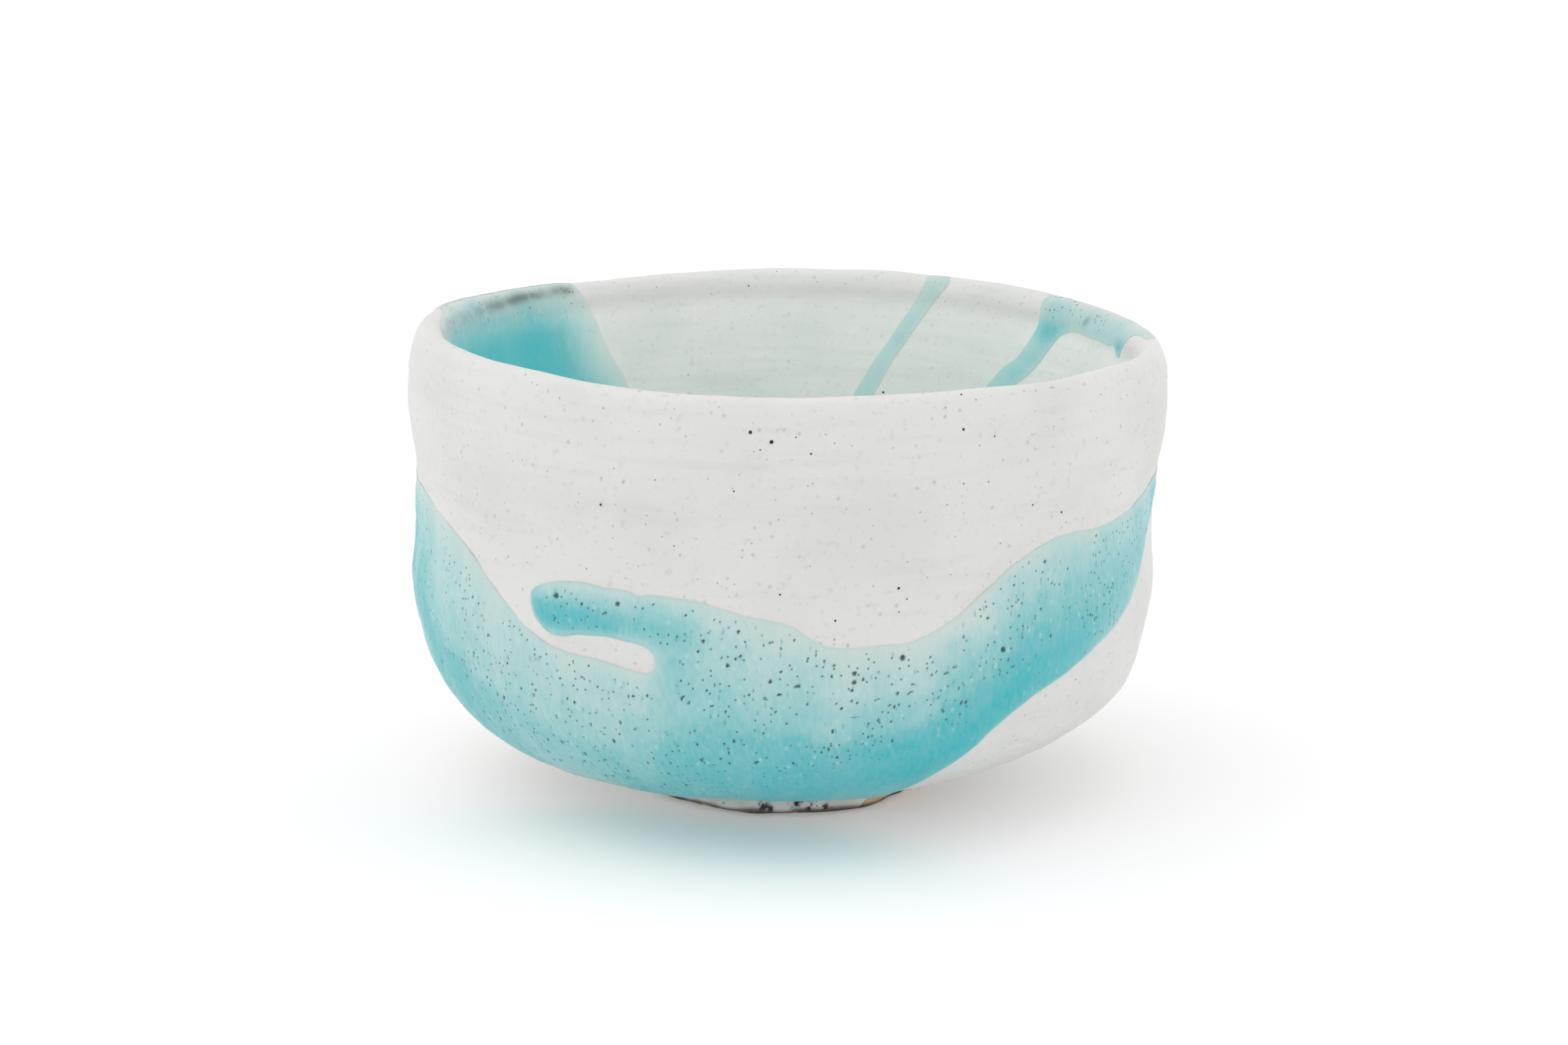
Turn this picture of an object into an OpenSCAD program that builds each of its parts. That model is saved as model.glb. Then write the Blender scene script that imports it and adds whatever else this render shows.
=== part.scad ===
// Tea bowl: a hand-thrown stoneware bowl on a knife-cut foot ring, coated in white glaze, with
// turquoise glaze poured round the outside and over the lip. The fired clay and every coat of glaze
// is its own solid, and each coat lies on the face of the one below.
//
// Angles are in degrees, anticlockwise seen from above, from +X. The front of the bowl, at -90,
// faces -Y. Heights are above the table that the foot stands on, before the rim's own waviness.

/* [Bowl] */
// Widest diameter over the glaze
bowl_d = 120; // [110:1:130]
// Height of the lip, on average round the bowl
bowl_h = 73; // [70:1:80]
// Thickness of the wall near the lip, glaze included
wall_t = 6; // [4:0.5:7]
// Thickness of the floor in the middle, glaze included
floor_t = 5; // [4:0.5:7]

/* [Foot] */
// Diameter of the foot ring across its cut corners
foot_d = 50; // [46:1:54]
// Height of the foot ring
foot_h = 5.5; // [5:0.5:7]
// Diameter of the recess inside the foot ring
recess_d = 35; // [30:1:38]

/* [Hand of the potter] */
// How far the lip rises on the left and sinks on the right
rim_wave = 1.5; // [0:0.1:2.5]
// How far the lip leans to the right of the foot
lean = 1.2; // [0:0.1:2]
// How far the belly slumps, down on the left and up on the right
slump = 2; // [0:0.1:3]

/* [Glaze] */
// Thickness of the white glaze
white_t = 0.5; // [0.3:0.1:0.8]
// Thickness of the turquoise glaze away from its edges
turquoise_t = 0.5; // [0.3:0.1:0.8]
// Thickness of the glaze on the foot ring
foot_glaze_t = 0.3; // [0.2:0.1:0.5]
// Width of the thin turquoise run
run_w = 3.6; // [2.5:0.1:5]

/* [Smoothness] */
// Facets round the bowl
round_n = 60; // [40:4:72]

/* [Hidden] */

clay_colour = "#b9a283";
foot_colour = "#a98c6c";
white_colour = "#e6e8e4";
inner_white_colour = "#cfd8d1";
foot_white_colour = "#d3d6d0";
turquoise_colour = "#63c0c6";
deep_turquoise_colour = "#49adb6";

bowl_r = bowl_d / 2;
foot_r = foot_d / 2;
recess_r = recess_d / 2;
crest_r = 0.957 * bowl_r;
// How far in from the crest the lip rounds over, as a part of the wall's thickness
lip_roll = 0.36;
// The bowl's underside is cut flat out to here, a little wider than the foot ring.
base_r = foot_r + 0.5;
floor_h = foot_h + floor_t;

outside_n = 18;
inside_n = 14;
// Thickness of a pour along its own edge, and the hair that keeps it off the facets below
edge_t = 0.15;
seat_t = 0.05;
// Half the middle hole that a turned surface closes with a fan
navel_r = 2;
// Steps in the tables of heights along the curves
table_n = 96;
// Height about which the bowl leans, and up to which the belly slumps, as parts of the wall's
// height. The scale makes the slump's fullest place 1.
lean_from = 0.4;
slump_to = 0.3;
slump_scale = 9.5;

// The wall's outer face: [part of the bowl's radius, part of the height from foot to lip]
outside_shape = [
    [0.592, 0.015], [0.717, 0.049], [0.822, 0.105], [0.907, 0.179], [0.955, 0.288], [0.980, 0.421],
    [0.972, 0.569], [0.980, 0.702], [0.998, 0.820], [0.994, 0.916], [0.980, 0.973]
];
outside_line = concat(
    [[base_r, foot_h]],
    [for (p = outside_shape) [p[0] * bowl_r, foot_h + p[1] * (bowl_h - foot_h)]],
    [[crest_r, bowl_h]]
);

// The wall's inner face: [part of the inside radius, part of the height from floor to lip]
inside_shape = [
    [0.995, 0.917], [0.985, 0.757], [0.975, 0.566], [0.962, 0.406], [0.927, 0.246], [0.836, 0.126],
    [0.655, 0.048], [0.436, 0.020], [0.255, 0.006]
];
inside_line = concat(
    [[crest_r, bowl_h], [crest_r - lip_roll * wall_t, bowl_h - 1]],
    [for (p = inside_shape) [p[0] * (bowl_r - wall_t), floor_h + p[1] * (bowl_h - floor_h)]],
    [[0, floor_h]]
);

// Corners that the trimming knife left on the foot ring: [angle, part of the foot's radius]
foot_cuts = [
    [-175, 0.97], [-141, 0.975], [-122, 0.955], [-103, 1], [-81, 0.96], [-59, 0.985], [-37, 0.905],
    [-8, 0.9], [20, 0.965], [48, 0.99], [82, 0.95], [112, 0.99], [150, 0.965]
];
// The glaze left a bare patch of clay on the foot ring between these angles.
bare_from = -56;
bare_to = -22;
// The pool's radius as a part of the bowl's
pool_part = 0.47;
// Height at which the glaze on the foot ring stops short of the table
foot_glaze_from = 0.9;

// Outlines of the turquoise pours: [angle, height]
band_top = [
    [-240, 50], [-220, 54], [-200, 52], [-180, 48.5], [-163, 48], [-152, 46.5], [-145, 44.4],
    [-136, 38.7], [-127, 33.7], [-119, 32.4], [-109, 31.2]
];
tongue_top = [
    [-128, 42.6], [-112, 43], [-103, 42.7], [-96, 40.8], [-88, 39], [-83, 35.8], [-70, 36.4],
    [-63, 40.2], [-56, 45.4], [-48, 48.5], [-43, 49.1], [-36, 48.4], [-25, 50], [-10, 52.6], [8, 53]
];
tongue_foot = [[-128, 36.4], [-124, 35.2], [-117, 36.1], [-109, 34.5]];
band_foot = [
    [-240, 44], [-220, 41], [-200, 38], [-180, 33], [-170, 26], [-160, 18], [-155, 11.5],
    [-148, 7], [-140, 6.3], [-75, 6.3], [-68, 8.5], [-62, 14.5], [-57, 19.8], [-52, 23.6],
    [-47, 26], [-40, 28.3], [-30, 32.6], [-21, 38.6], [-14, 46], [-4, 50], [8, 51.5]
];
slit_end = -109;
tongue_tip = -129.5;
// How much the tongue's tip is rounded off below and above
tip_rise = 1.6;
tip_drop = 1.8;
// Right of the slit its two rows go on, this far up from the belt's foot to its top.
slit_rows = [0.81, 0.87];

sheet_inside_right = [[10, 100], [25, 105], [40, 112], [55, 120.4], [63, 125.4], [71, 129.6], [73, 131]];
sheet_inside_left = [[10, 160], [30, 184], [55, 190], [65, 187], [70, 180], [73, 170]];
sheet_back_from = 131;
sheet_back_to = 170;
run_middle = [[10, 90], [20, 88], [36, 83], [52, 75.4], [61.7, 69.8], [69, 65.2], [73, 63.4]];
fork_lean = [[10, 33], [20, 32], [40, 24], [57, 9], [61, 5], [65, 2], [69, 0], [73, 0]];
fork_arch = [[10, 69.5], [13, 67.5], [18, 68.6], [26, 69.2], [32, 68.4], [36, 67.4], [43, 67.4]];

// A smooth curve through a list of points, u from 0 at the first to 1 at the last
function eased(a, b, c, d, t) =
    0.5 * (2 * b + (c - a) * t + (2 * a - 5 * b + 4 * c - d) * t * t + (3 * (b - c) + d - a) * t * t * t);
function along(line, u) =
    let (n = len(line) - 1, k = min(floor(u * n), n - 1))
    eased(line[max(k - 1, 0)], line[k], line[k + 1], line[min(k + 2, n)], u * n - k);

// Which way the curve's outer side faces: straight out at the foot and straight up at the lip
function facing(line, u) =
    let (e = along(line, min(u + 0.002, 1)) - along(line, max(u - 0.002, 0)))
    norm(along(line, u) - [crest_r, bowl_h]) < 0.01 ? [0, 1] :
    norm(along(line, u) - [base_r, foot_h]) < 0.01 ? [1, 0] :
    [e[1], -e[0]] / norm(e);
function lifted(line, u, t) = along(line, u) + t * facing(line, u);

// Where along the curve it is at height z
outside_heights = [for (i = [0:table_n]) [along(outside_line, i / table_n)[1], i / table_n]];
inside_heights = [for (i = [table_n:-1:0]) [along(inside_line, i / table_n)[1], i / table_n]];
function outside_at(z) = lookup(z, outside_heights);
function inside_at(z) = lookup(z, inside_heights);

// The potter's hand: the lip waves up and down and leans, and the belly slumps to one side.
function lip_lift(a) =
    rim_wave * (0.13 * sin(2 * a) - 0.93 * cos(a) - 0.33 * cos(3 * a) - 0.27 * sin(3 * a));
function belly_swell(h) =
    let (k = min(max(h / slump_to, 0), 1))
    slump_scale * k * pow(1 - k, 3);
function by_hand(a, p) =
    let (
        h = (p[1] - foot_h) / (bowl_h - foot_h),
        g = pow(p[0] / bowl_r, 2),
        swell = slump * belly_swell(h)
    )
    [
        p[0] * cos(a) + g * (lean * (pow(h, 4) - lean_from) + swell),
        p[0] * sin(a),
        p[1] + g * (lip_lift(a) * h * h + swell * cos(a))
    ];

// A point t proud of the white glaze's facets, at one angle and one place along the curve
function on_facets(line, n, a, u, t) =
    let (
        i = floor(a * round_n / 360),
        j = min(floor(u * n), n - 1),
        p = function (i, j) by_hand(i * 360 / round_n, lifted(line, j / n, t)),
        f = a * round_n / 360 - i,
        g = u * n - j
    )
    (1 - f) * ((1 - g) * p(i, j) + g * p(i, j + 1)) + f * ((1 - g) * p(i + 1, j) + g * p(i + 1, j + 1));
function on_outside(a, u, t) = on_facets(outside_line, outside_n, a, u, t);
function on_inside(a, u, t) = on_facets(inside_line, inside_n / inside_end, a, u, t);
function between(low, high, part) = low + (high - low) * part;

// The runs inside keep to the same rows of facets as the white glaze, as far as the pool.
function row(j) = min(j * inside_end / inside_n, pool_u);
function ring(line, u, t) = [for (i = [0:round_n - 1]) by_hand(i * 360 / round_n, lifted(line, u, t))];
function flat(lists) = [for (list = lists) each list];
function middle(points) = [for (k = [0:2]) [for (p = points) p[k]] * [for (p = points) 1] / len(points)];

// The last u inside before the middle of the floor, where a fan closes the surface
inside_end = 1 - navel_r / inside_line[len(inside_line) - 2][0] / (len(inside_line) - 1);

// Where the pool's edge is
inside_radii = [for (i = [table_n:-1:0]) [along(inside_line, i / table_n)[0], i / table_n]];
pool_u = lookup(pool_part * bowl_r, inside_radii);
run_rows = ceil(pool_u * inside_n / inside_end);

// A solid turned from rings of points, closed on itself or fanned shut at both ends
module turned(rings, loop = false) {
    n = len(rings[0]);
    m = len(rings);
    steps = loop ? m - 1 : m - 2;
    points = concat(flat(rings), [middle(rings[0]), middle(rings[m - 1])]);
    sides = [for (j = [0:steps], i = [0:n - 1])
        let (low = j * n, high = (j + 1) % m * n, right = (i + 1) % n)
        each [[low + i, high + i, low + right], [low + right, high + i, high + right]]];
    ends = loop ? [] : [for (i = [0:n - 1])
        each [[m * n, i, (i + 1) % n], [m * n + 1, (m - 1) * n + (i + 1) % n, (m - 1) * n + i]]];
    polyhedron(points, concat(sides, ends), convexity = 6);
}

// A skin of glaze on a grid whose lines follow its outline. has(i, j) says which cells are glazed,
// and spot(i, j, t) is the place of crossing i, j, t proud of the white glaze. It thins at its edge.
module skin(ni, nj, has, spot) {
    cell = function (i, j) i >= 0 && j >= 0 && i < ni && j < nj && has(i, j);
    inner = function (i, j) cell(i - 1, j - 1) && cell(i, j - 1) && cell(i - 1, j) && cell(i, j);
    n = (ni + 1) * (nj + 1);
    at = function (i, j) i * (nj + 1) + j;
    face = [for (i = [0:ni], j = [0:nj]) spot(i, j, inner(i, j) ? turquoise_t : edge_t)];
    back = [for (i = [0:ni], j = [0:nj]) spot(i, j, seat_t)];
    wall = function (a, b) [[a, b, a + n], [b, b + n, a + n]];
    triangles = [for (i = [0:ni - 1], j = [0:nj - 1]) if (cell(i, j))
        let (a = at(i, j), b = at(i + 1, j), c = at(i, j + 1), d = at(i + 1, j + 1))
        each concat(
            [[a, c, b], [b, c, d], [a + n, b + n, c + n], [b + n, d + n, c + n]],
            cell(i, j - 1) ? [] : wall(a, b),
            cell(i, j + 1) ? [] : wall(d, c),
            cell(i - 1, j) ? [] : wall(c, a),
            cell(i + 1, j) ? [] : wall(b, d)
        )];
    polyhedron(concat(face, back), triangles, convexity = 6);
}

function foot_outline(t) = [for (c = foot_cuts) (c[1] * foot_r + t) * [cos(c[0]), sin(c[0])]];

module clay_body() {
    outer = [for (j = [0:outside_n]) ring(outside_line, j / outside_n, -white_t)];
    inner = [for (j = [1:inside_n]) ring(inside_line, j * inside_end / inside_n, -white_t)];
    color(clay_colour) turned(concat(outer, inner));
}

module foot_ring() {
    color(foot_colour) difference() {
        linear_extrude(foot_h) polygon(foot_outline(0));
        translate([0, 0, -1]) cylinder(h = foot_h + 2, r = recess_r, $fn = 96);
    }
}

module white_outside() {
    face = [for (j = [0:outside_n]) ring(outside_line, j / outside_n, 0)];
    back = [for (j = [outside_n:-1:0]) ring(outside_line, j / outside_n, -white_t)];
    color(white_colour) turned(concat(face, back), loop = true);
}

module white_inside() {
    back = [for (j = [inside_n:-1:0]) ring(inside_line, j * inside_end / inside_n, -white_t)];
    face = [for (j = [0:inside_n]) ring(inside_line, j * inside_end / inside_n, 0)];
    color(inner_white_colour) turned(concat(back, face));
}

module foot_glaze() {
    bare_middle = (bare_from + bare_to) / 2;
    bare_half = (bare_to - bare_from) / 2;
    color(foot_white_colour) translate([0, 0, foot_glaze_from]) linear_extrude(foot_h - foot_glaze_from)
        difference() {
            polygon(foot_outline(foot_glaze_t));
            polygon(foot_outline(0));
            rotate(bare_middle) polygon([
                [0, 0], 1.5 * foot_r * [cos(bare_half), -sin(bare_half)],
                1.5 * foot_r * [cos(bare_half), sin(bare_half)]
            ]);
        }
}

// The main pour: a belt round the belly, with a tongue on the left that a slit parts from the belt
module turquoise_band() {
    columns = concat(
        [for (a = [-234:6:-132]) a], [tongue_tip, -126, -120, -114, slit_end - 0.8, slit_end],
        [for (a = [-102:6:6]) a]
    );
    tip = search(tongue_tip, columns)[0];
    slit = search(slit_end, columns)[0];
    belt = 8;
    tongue = 3;
    // Low edge, top of the belt, foot of the tongue and top edge, as places along the wall
    levels = function (a)
        let (
            low = outside_at(lookup(a, band_foot)),
            top = outside_at(lookup(a, tongue_top)),
            round_tip = a > tongue_tip + 1 ? 0 : 1
        )
        a < slit_end - 0.5
            ? [
                low,
                outside_at(lookup(a, band_top)),
                outside_at(lookup(a, tongue_foot) + tip_rise * round_tip),
                outside_at(lookup(a, tongue_top) - tip_drop * round_tip)
            ]
            : [low, between(low, top, slit_rows[0]), between(low, top, slit_rows[1]), top];
    has = function (i, j) j < belt || i >= slit || (j > belt && i >= tip);
    // Where the belly turns under, the rows keep to the white glaze's own rows of facets.
    kept = 5;
    place = function (e, j)
        j > belt ? between(e[2], e[3], (j - belt - 1) / tongue) :
        j > kept || j == 0 ? between(e[0], e[1], j / belt) :
        max(between(e[0], e[1], j / belt), (j + 1) / outside_n);
    spot = function (i, j, t) on_outside(columns[i], place(levels(columns[i]), j), t);
    color(turquoise_colour) skin(len(columns) - 1, belt + 1 + tongue, has, spot);
}

// The pour that came over the lip at the back left and ran down into the belt
module turquoise_sheet_back() {
    columns = 6;
    rows = 6;
    spot = function (i, j, t)
        let (a = between(sheet_back_from, sheet_back_to, i / columns) - 360)
        on_outside(a, j == 0 ? outside_at(lookup(a, band_top)) : 1 - (rows - j) / outside_n, t);
    color(turquoise_colour) skin(columns, rows, function (i, j) true, spot);
}

module turquoise_sheet_inside() {
    columns = 8;
    spot = function (i, j, t)
        let (
            z = along(inside_line, row(j))[1],
            a = between(lookup(z, sheet_inside_right), lookup(z, sheet_inside_left), i / columns)
        )
        on_inside(a, row(j), t);
    color(deep_turquoise_colour) skin(columns, run_rows, function (i, j) true, spot);
}

module turquoise_run_thin() {
    spot = function (i, j, t)
        let (p = along(inside_line, row(j)), half = run_w / 2 / p[0] * 180 / PI)
        on_inside(lookup(p[1], run_middle) + half * (i - 1), row(j), t);
    color(turquoise_colour) skin(2, run_rows, function (i, j) true, spot);
}

// A pour along the lip on the right, with a long prong that runs to the pool and a short one
module turquoise_run_forked() {
    columns = [10.4, 13, 18, 24, 30, 36, 39, 42];
    bar = 3;
    prong = 12;
    prong_from = 5;
    spot = function (i, j, t)
        let (
            arch = inside_at(lookup(columns[i], fork_arch)),
            u = j < bar ? row(j) : between(arch, pool_u, (j - bar) / prong),
            z = along(inside_line, u)[1]
        )
        on_inside(columns[i] + (j > bar ? lookup(z, fork_lean) : 0), u, t);
    color(turquoise_colour)
        skin(len(columns) - 1, bar + prong, function (i, j) j < bar || i >= prong_from, spot);
}

// The pool where the runs gather, in the middle of the floor
module turquoise_pool() {
    rows = 3;
    place = function (j) between(pool_u, inside_end, j / rows);
    face = [for (j = [0:rows]) ring(inside_line, place(j), j == 0 ? edge_t : turquoise_t)];
    back = [for (j = [rows:-1:0]) ring(inside_line, place(j), seat_t)];
    color(deep_turquoise_colour) turned(concat(back, face));
}

clay_body();
foot_ring();
white_outside();
white_inside();
foot_glaze();
turquoise_band();
turquoise_sheet_back();
turquoise_sheet_inside();
turquoise_run_thin();
turquoise_run_forked();
turquoise_pool();
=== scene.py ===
import math

import bpy
import numpy as np
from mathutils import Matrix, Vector


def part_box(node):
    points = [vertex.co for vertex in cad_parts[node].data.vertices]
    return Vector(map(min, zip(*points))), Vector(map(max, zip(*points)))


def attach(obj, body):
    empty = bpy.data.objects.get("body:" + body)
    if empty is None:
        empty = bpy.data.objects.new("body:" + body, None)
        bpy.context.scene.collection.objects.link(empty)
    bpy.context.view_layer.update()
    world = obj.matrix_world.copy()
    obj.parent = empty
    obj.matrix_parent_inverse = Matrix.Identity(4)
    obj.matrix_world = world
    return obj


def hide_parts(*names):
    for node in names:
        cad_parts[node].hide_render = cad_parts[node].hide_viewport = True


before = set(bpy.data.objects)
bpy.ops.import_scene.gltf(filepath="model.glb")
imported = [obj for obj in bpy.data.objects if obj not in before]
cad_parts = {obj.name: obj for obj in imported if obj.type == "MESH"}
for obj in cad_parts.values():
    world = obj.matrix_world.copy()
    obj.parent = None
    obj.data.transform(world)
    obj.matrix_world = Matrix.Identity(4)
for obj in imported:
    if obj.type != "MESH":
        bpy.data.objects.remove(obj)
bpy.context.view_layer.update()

MM = 0.001

# ---------------------------------------------------------------- sizes, read off the frame

white_low, white_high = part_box("white_outside")
foot_low, foot_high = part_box("foot_ring")
inside_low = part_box("white_inside")[0]

# The widest glaze is this part of the bowl's radius, and its mean lip this part of the highest.
WIDEST = 0.9987
MEAN_LIP = 0.9745
bowl_r = (white_high.y - white_low.y) / 2 / WIDEST
bowl_h = white_high.z * MEAN_LIP
foot_h = foot_high.z
# The foot's corner nearest the front stands at -103 degrees, at the foot's full radius.
foot_r = foot_low.y / math.sin(math.radians(-103))
recess_r = 0.7 * foot_r
base_r = foot_r + 0.5 * MM
crest_r = 0.957 * bowl_r
wall_t = bowl_r / 10
white_t = 0.5 * MM
foot_glaze_t = 0.3 * MM
# The clay's face is this far under the white glaze's.
CLAY_DEPTH = 0.45 * MM
# The foot goes on this far up into the wall.
FOOT_SINK = 0.6 * MM
# Skins that close in the middle of the floor have their last ring this far from it.
MIDDLE_GAP = 0.6 * MM
# The back of a pour is sunk this far into the glaze under it.
BACK_SUNK = 0.05 * MM
# Points round the foot and each white coat, and round the clay and the pool
COAT_COLUMNS, PLAIN_COLUMNS = 420, 300
floor_h = inside_low.z + white_t

# The wall's outer face: [part of the bowl's radius, part of the height from foot to lip]
OUTSIDE_SHAPE = [
    (0.592, 0.015), (0.717, 0.049), (0.822, 0.105), (0.907, 0.179), (0.955, 0.288), (0.980, 0.421),
    (0.972, 0.569), (0.980, 0.702), (0.998, 0.820), (0.994, 0.916), (0.980, 0.973),
]
# The wall's inner face: [part of the inside radius, part of the height from floor to lip]
INSIDE_SHAPE = [
    (0.995, 0.917), (0.985, 0.757), (0.975, 0.566), (0.962, 0.406), (0.927, 0.246), (0.836, 0.126),
    (0.655, 0.048), (0.436, 0.020), (0.255, 0.006),
]
# Corners that the trimming knife left on the foot ring: [angle, part of the foot's radius]
FOOT_CUTS = [
    (-175, 0.97), (-141, 0.975), (-122, 0.955), (-103, 1), (-81, 0.96), (-59, 0.985), (-37, 0.905),
    (-8, 0.9), (20, 0.965), (48, 0.99), (82, 0.95), (112, 0.99), (150, 0.965),
]
# The glaze left a bare patch of clay on the foot ring between these angles.
BARE_FROM, BARE_TO = -56, -22
# Blotches of iron in the foot ring's glaze: [angle, height in mm, half width in mm]
FOOT_MARKS = [
    (-99, 1.7, 0.9), (-96, 1.1, 0.6), (-86, 2.2, 1.2), (-82, 1.4, 0.8), (-84, 3, 0.6), (-76, 1.3, 0.6),
    (-113, 2.8, 0.4), (-70, 2.6, 0.4), (-160, 2, 1), (-215, 3, 0.9), (-250, 1.5, 1.2), (-300, 2.4, 0.8),
]

# How the potter's hand shows: the lip's waviness, its lean, and the slump of the belly
RIM_WAVE = 1.5 * MM
LEAN = 1.2 * MM
SLUMP = 2 * MM

# ---------------------------------------------------------------- outlines of the pours

# Edges of the belt round the belly: [angle, height in mm]
BELT_TOP = [
    (-233.8, 49.5), (-227, 53), (-215, 54), (-200, 53), (-180, 50.8), (-163, 49.4), (-152, 47), (-145, 44.4),
    (-136, 38.7), (-127, 33.7), (-119, 32.4), (-112.5, 31.5),
]
SLIT_END = [(-110, 31.3), (-108.9, 32), (-108.8, 33.3), (-109.6, 34.7)]
TONGUE_FOOT = [(-112.6, 35.7), (-116.7, 36.2), (-120.4, 35.8), (-123.5, 35.2), (-126, 35.3), (-128.2, 36.6)]
TONGUE_TIP = [(-129.6, 38.6), (-129.8, 40.8), (-128.2, 42.3)]
TONGUE_TOP = [
    (-124, 43.3), (-118, 43.3), (-113, 43.2), (-111.4, 42.6), (-109, 43), (-103, 42.5), (-96, 40.9),
    (-89, 39.1), (-86, 37.2), (-82.5, 35.9), (-76, 35.9), (-70, 36.6), (-63, 40.2), (-56, 45.2),
    (-49, 48.3), (-43, 49.1), (-36, 48.8), (-25, 50), (-10, 52.6), (6, 53),
]
BELT_FOOT = [
    (8.5, 52.3), (8, 51.6), (-4, 50), (-14, 46), (-21, 38.6), (-30, 32.6), (-40, 28.3), (-47, 26),
    (-52, 23.6), (-57, 19.8), (-62, 14.5), (-67, 9.5), (-73, 6.6), (-85, 5.9), (-100, 5.8),
    (-120, 5.8), (-138, 5.9), (-147, 7), (-154, 11), (-160, 18), (-170, 26), (-180, 33),
    (-200, 38), (-215, 40), (-226, 41.2), (-232.5, 43), (-234.8, 46),
]
# Where the pour came over the lip at the back left, between these angles at the crest
SHEET_FROM, SHEET_TO = 131, 170
SHEET_RIGHT = [(106, 10.6), (108, 30), (112, 40), (120.4, 55), (125.4, 63), (129.6, 71), (131, 73)]
SHEET_LEFT = [(170, 73), (183, 71), (191, 65), (194, 55), (188, 30), (150, 10.6)]
# Middle lines of the runs inside: [angle, height in mm]
THIN_RUN = [(63, 72.3), (64.6, 69), (69.4, 61.7), (75.6, 52), (83, 36), (88, 20), (92, 12.5), (96, 11)]
FORK_BAR = [(0, 73), (7, 72.9), (12, 72.4), (17, 72), (26, 72), (36, 72.4)]
FORK_LONG = [(34.6, 70), (37.2, 66.6), (42, 61), (46.6, 57), (62, 40), (71, 22), (73, 13), (75, 11)]
FORK_SHORT = [(11.8, 71.6), (11.2, 70.4), (10.7, 69.4), (10.2, 68.6)]
POOL_PART = 0.47

# How deep the belt's colour is, from 0, milky, to 1:
# [angle, then its depth at 0, 0.2, 0.4, 0.6, 0.8 and 1 of the way down from the belt's top]
BELT_DEPTH = [
    (-240, 0.20, 0.30, 0.35, 0.35, 0.30, 0.20), (-182, 0.25, 0.48, 0.60, 0.65, 0.55, 0.30),
    (-168, 0.25, 0.48, 0.58, 0.65, 0.55, 0.35), (-157, 0.16, 0.33, 0.50, 0.66, 0.62, 0.45),
    (-149, 0.14, 0.24, 0.34, 0.66, 0.62, 0.50), (-141, 0.15, 0.25, 0.33, 0.48, 0.52, 0.50),
    (-133, 0.18, 0.26, 0.32, 0.42, 0.42, 0.45), (-117, 0.15, 0.25, 0.36, 0.50, 0.60, 0.65),
    (-101, 0.12, 0.30, 0.38, 0.58, 0.72, 0.78), (-85, 0.10, 0.25, 0.38, 0.64, 0.80, 0.85),
    (-69, 0.12, 0.27, 0.42, 0.78, 0.95, 0.75), (-61, 0.14, 0.28, 0.46, 0.66, 0.88, 0.75),
    (-45, 0.20, 0.32, 0.46, 0.60, 0.75, 0.70), (-29, 0.26, 0.35, 0.45, 0.52, 0.50, 0.40),
    (-13, 0.35, 0.42, 0.45, 0.42, 0.36, 0.30), (9, 0.30, 0.35, 0.38, 0.35, 0.30, 0.25),
]

# ---------------------------------------------------------------- the wall's surface


def eased(points, u):
    """A smooth curve through points, at u from 0 at the first to 1 at the last."""
    points = np.asarray(points, float)
    n = len(points) - 1
    k = np.clip(np.floor(u * n).astype(int), 0, n - 1)
    t = (u * n - k)[:, None]
    a, b, c, d = (points[np.clip(k + i, 0, n)] for i in (-1, 0, 1, 2))
    return 0.5 * (
        2 * b + (c - a) * t + (2 * a - 5 * b + 4 * c - d) * t**2 + (3 * (b - c) + d - a) * t**3
    )


def wall_section():
    """The wall's section from foot to lip to floor, as (radius, height) points."""
    wall_h = bowl_h - foot_h
    cup_h = bowl_h - floor_h
    outer = [(r * bowl_r, foot_h + h * wall_h) for r, h in OUTSIDE_SHAPE]
    inner = [(r * (bowl_r - wall_t), floor_h + h * cup_h) for r, h in INSIDE_SHAPE]
    lip = [(crest_r, bowl_h), (crest_r - 0.36 * wall_t, bowl_h - MM)]
    return [(base_r, foot_h), *outer, *lip, *inner, (0, floor_h)]


SECTION = eased(wall_section(), np.linspace(0, 1, 8001))
SECTION_R, SECTION_Z = SECTION.T
STEPS = np.hypot(np.diff(SECTION_R), np.diff(SECTION_Z))
SECTION_ARC = np.concatenate([[0], np.cumsum(STEPS)])
SLOPE_R = np.gradient(SECTION_R, SECTION_ARC)
SLOPE_Z = np.gradient(SECTION_Z, SECTION_ARC)
CREST = int(np.argmax(SECTION_Z))
crest_arc = SECTION_ARC[CREST]
end_arc = SECTION_ARC[-1]


def radius_at(arc):
    return np.interp(arc, SECTION_ARC, SECTION_R)


def height_at(arc):
    return np.interp(arc, SECTION_ARC, SECTION_Z)


def outside_arc(height):
    """The arc on the outer face at a height."""
    return np.interp(height, SECTION_Z[: CREST + 1], SECTION_ARC[: CREST + 1])


def inside_arc(height):
    """The arc on the inner face at a height."""
    return np.interp(height, SECTION_Z[CREST:][::-1], SECTION_ARC[CREST:][::-1])


def clamp(value):
    return np.clip(value, 0, 1)


def smooth_step(value, low, high):
    t = clamp((value - low) / (high - low))
    return t * t * (3 - 2 * t)


def bump(value, middle, width):
    """1 at the middle, falling away smoothly on both sides."""
    return np.exp(-(((value - middle) / width) ** 2))


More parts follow.
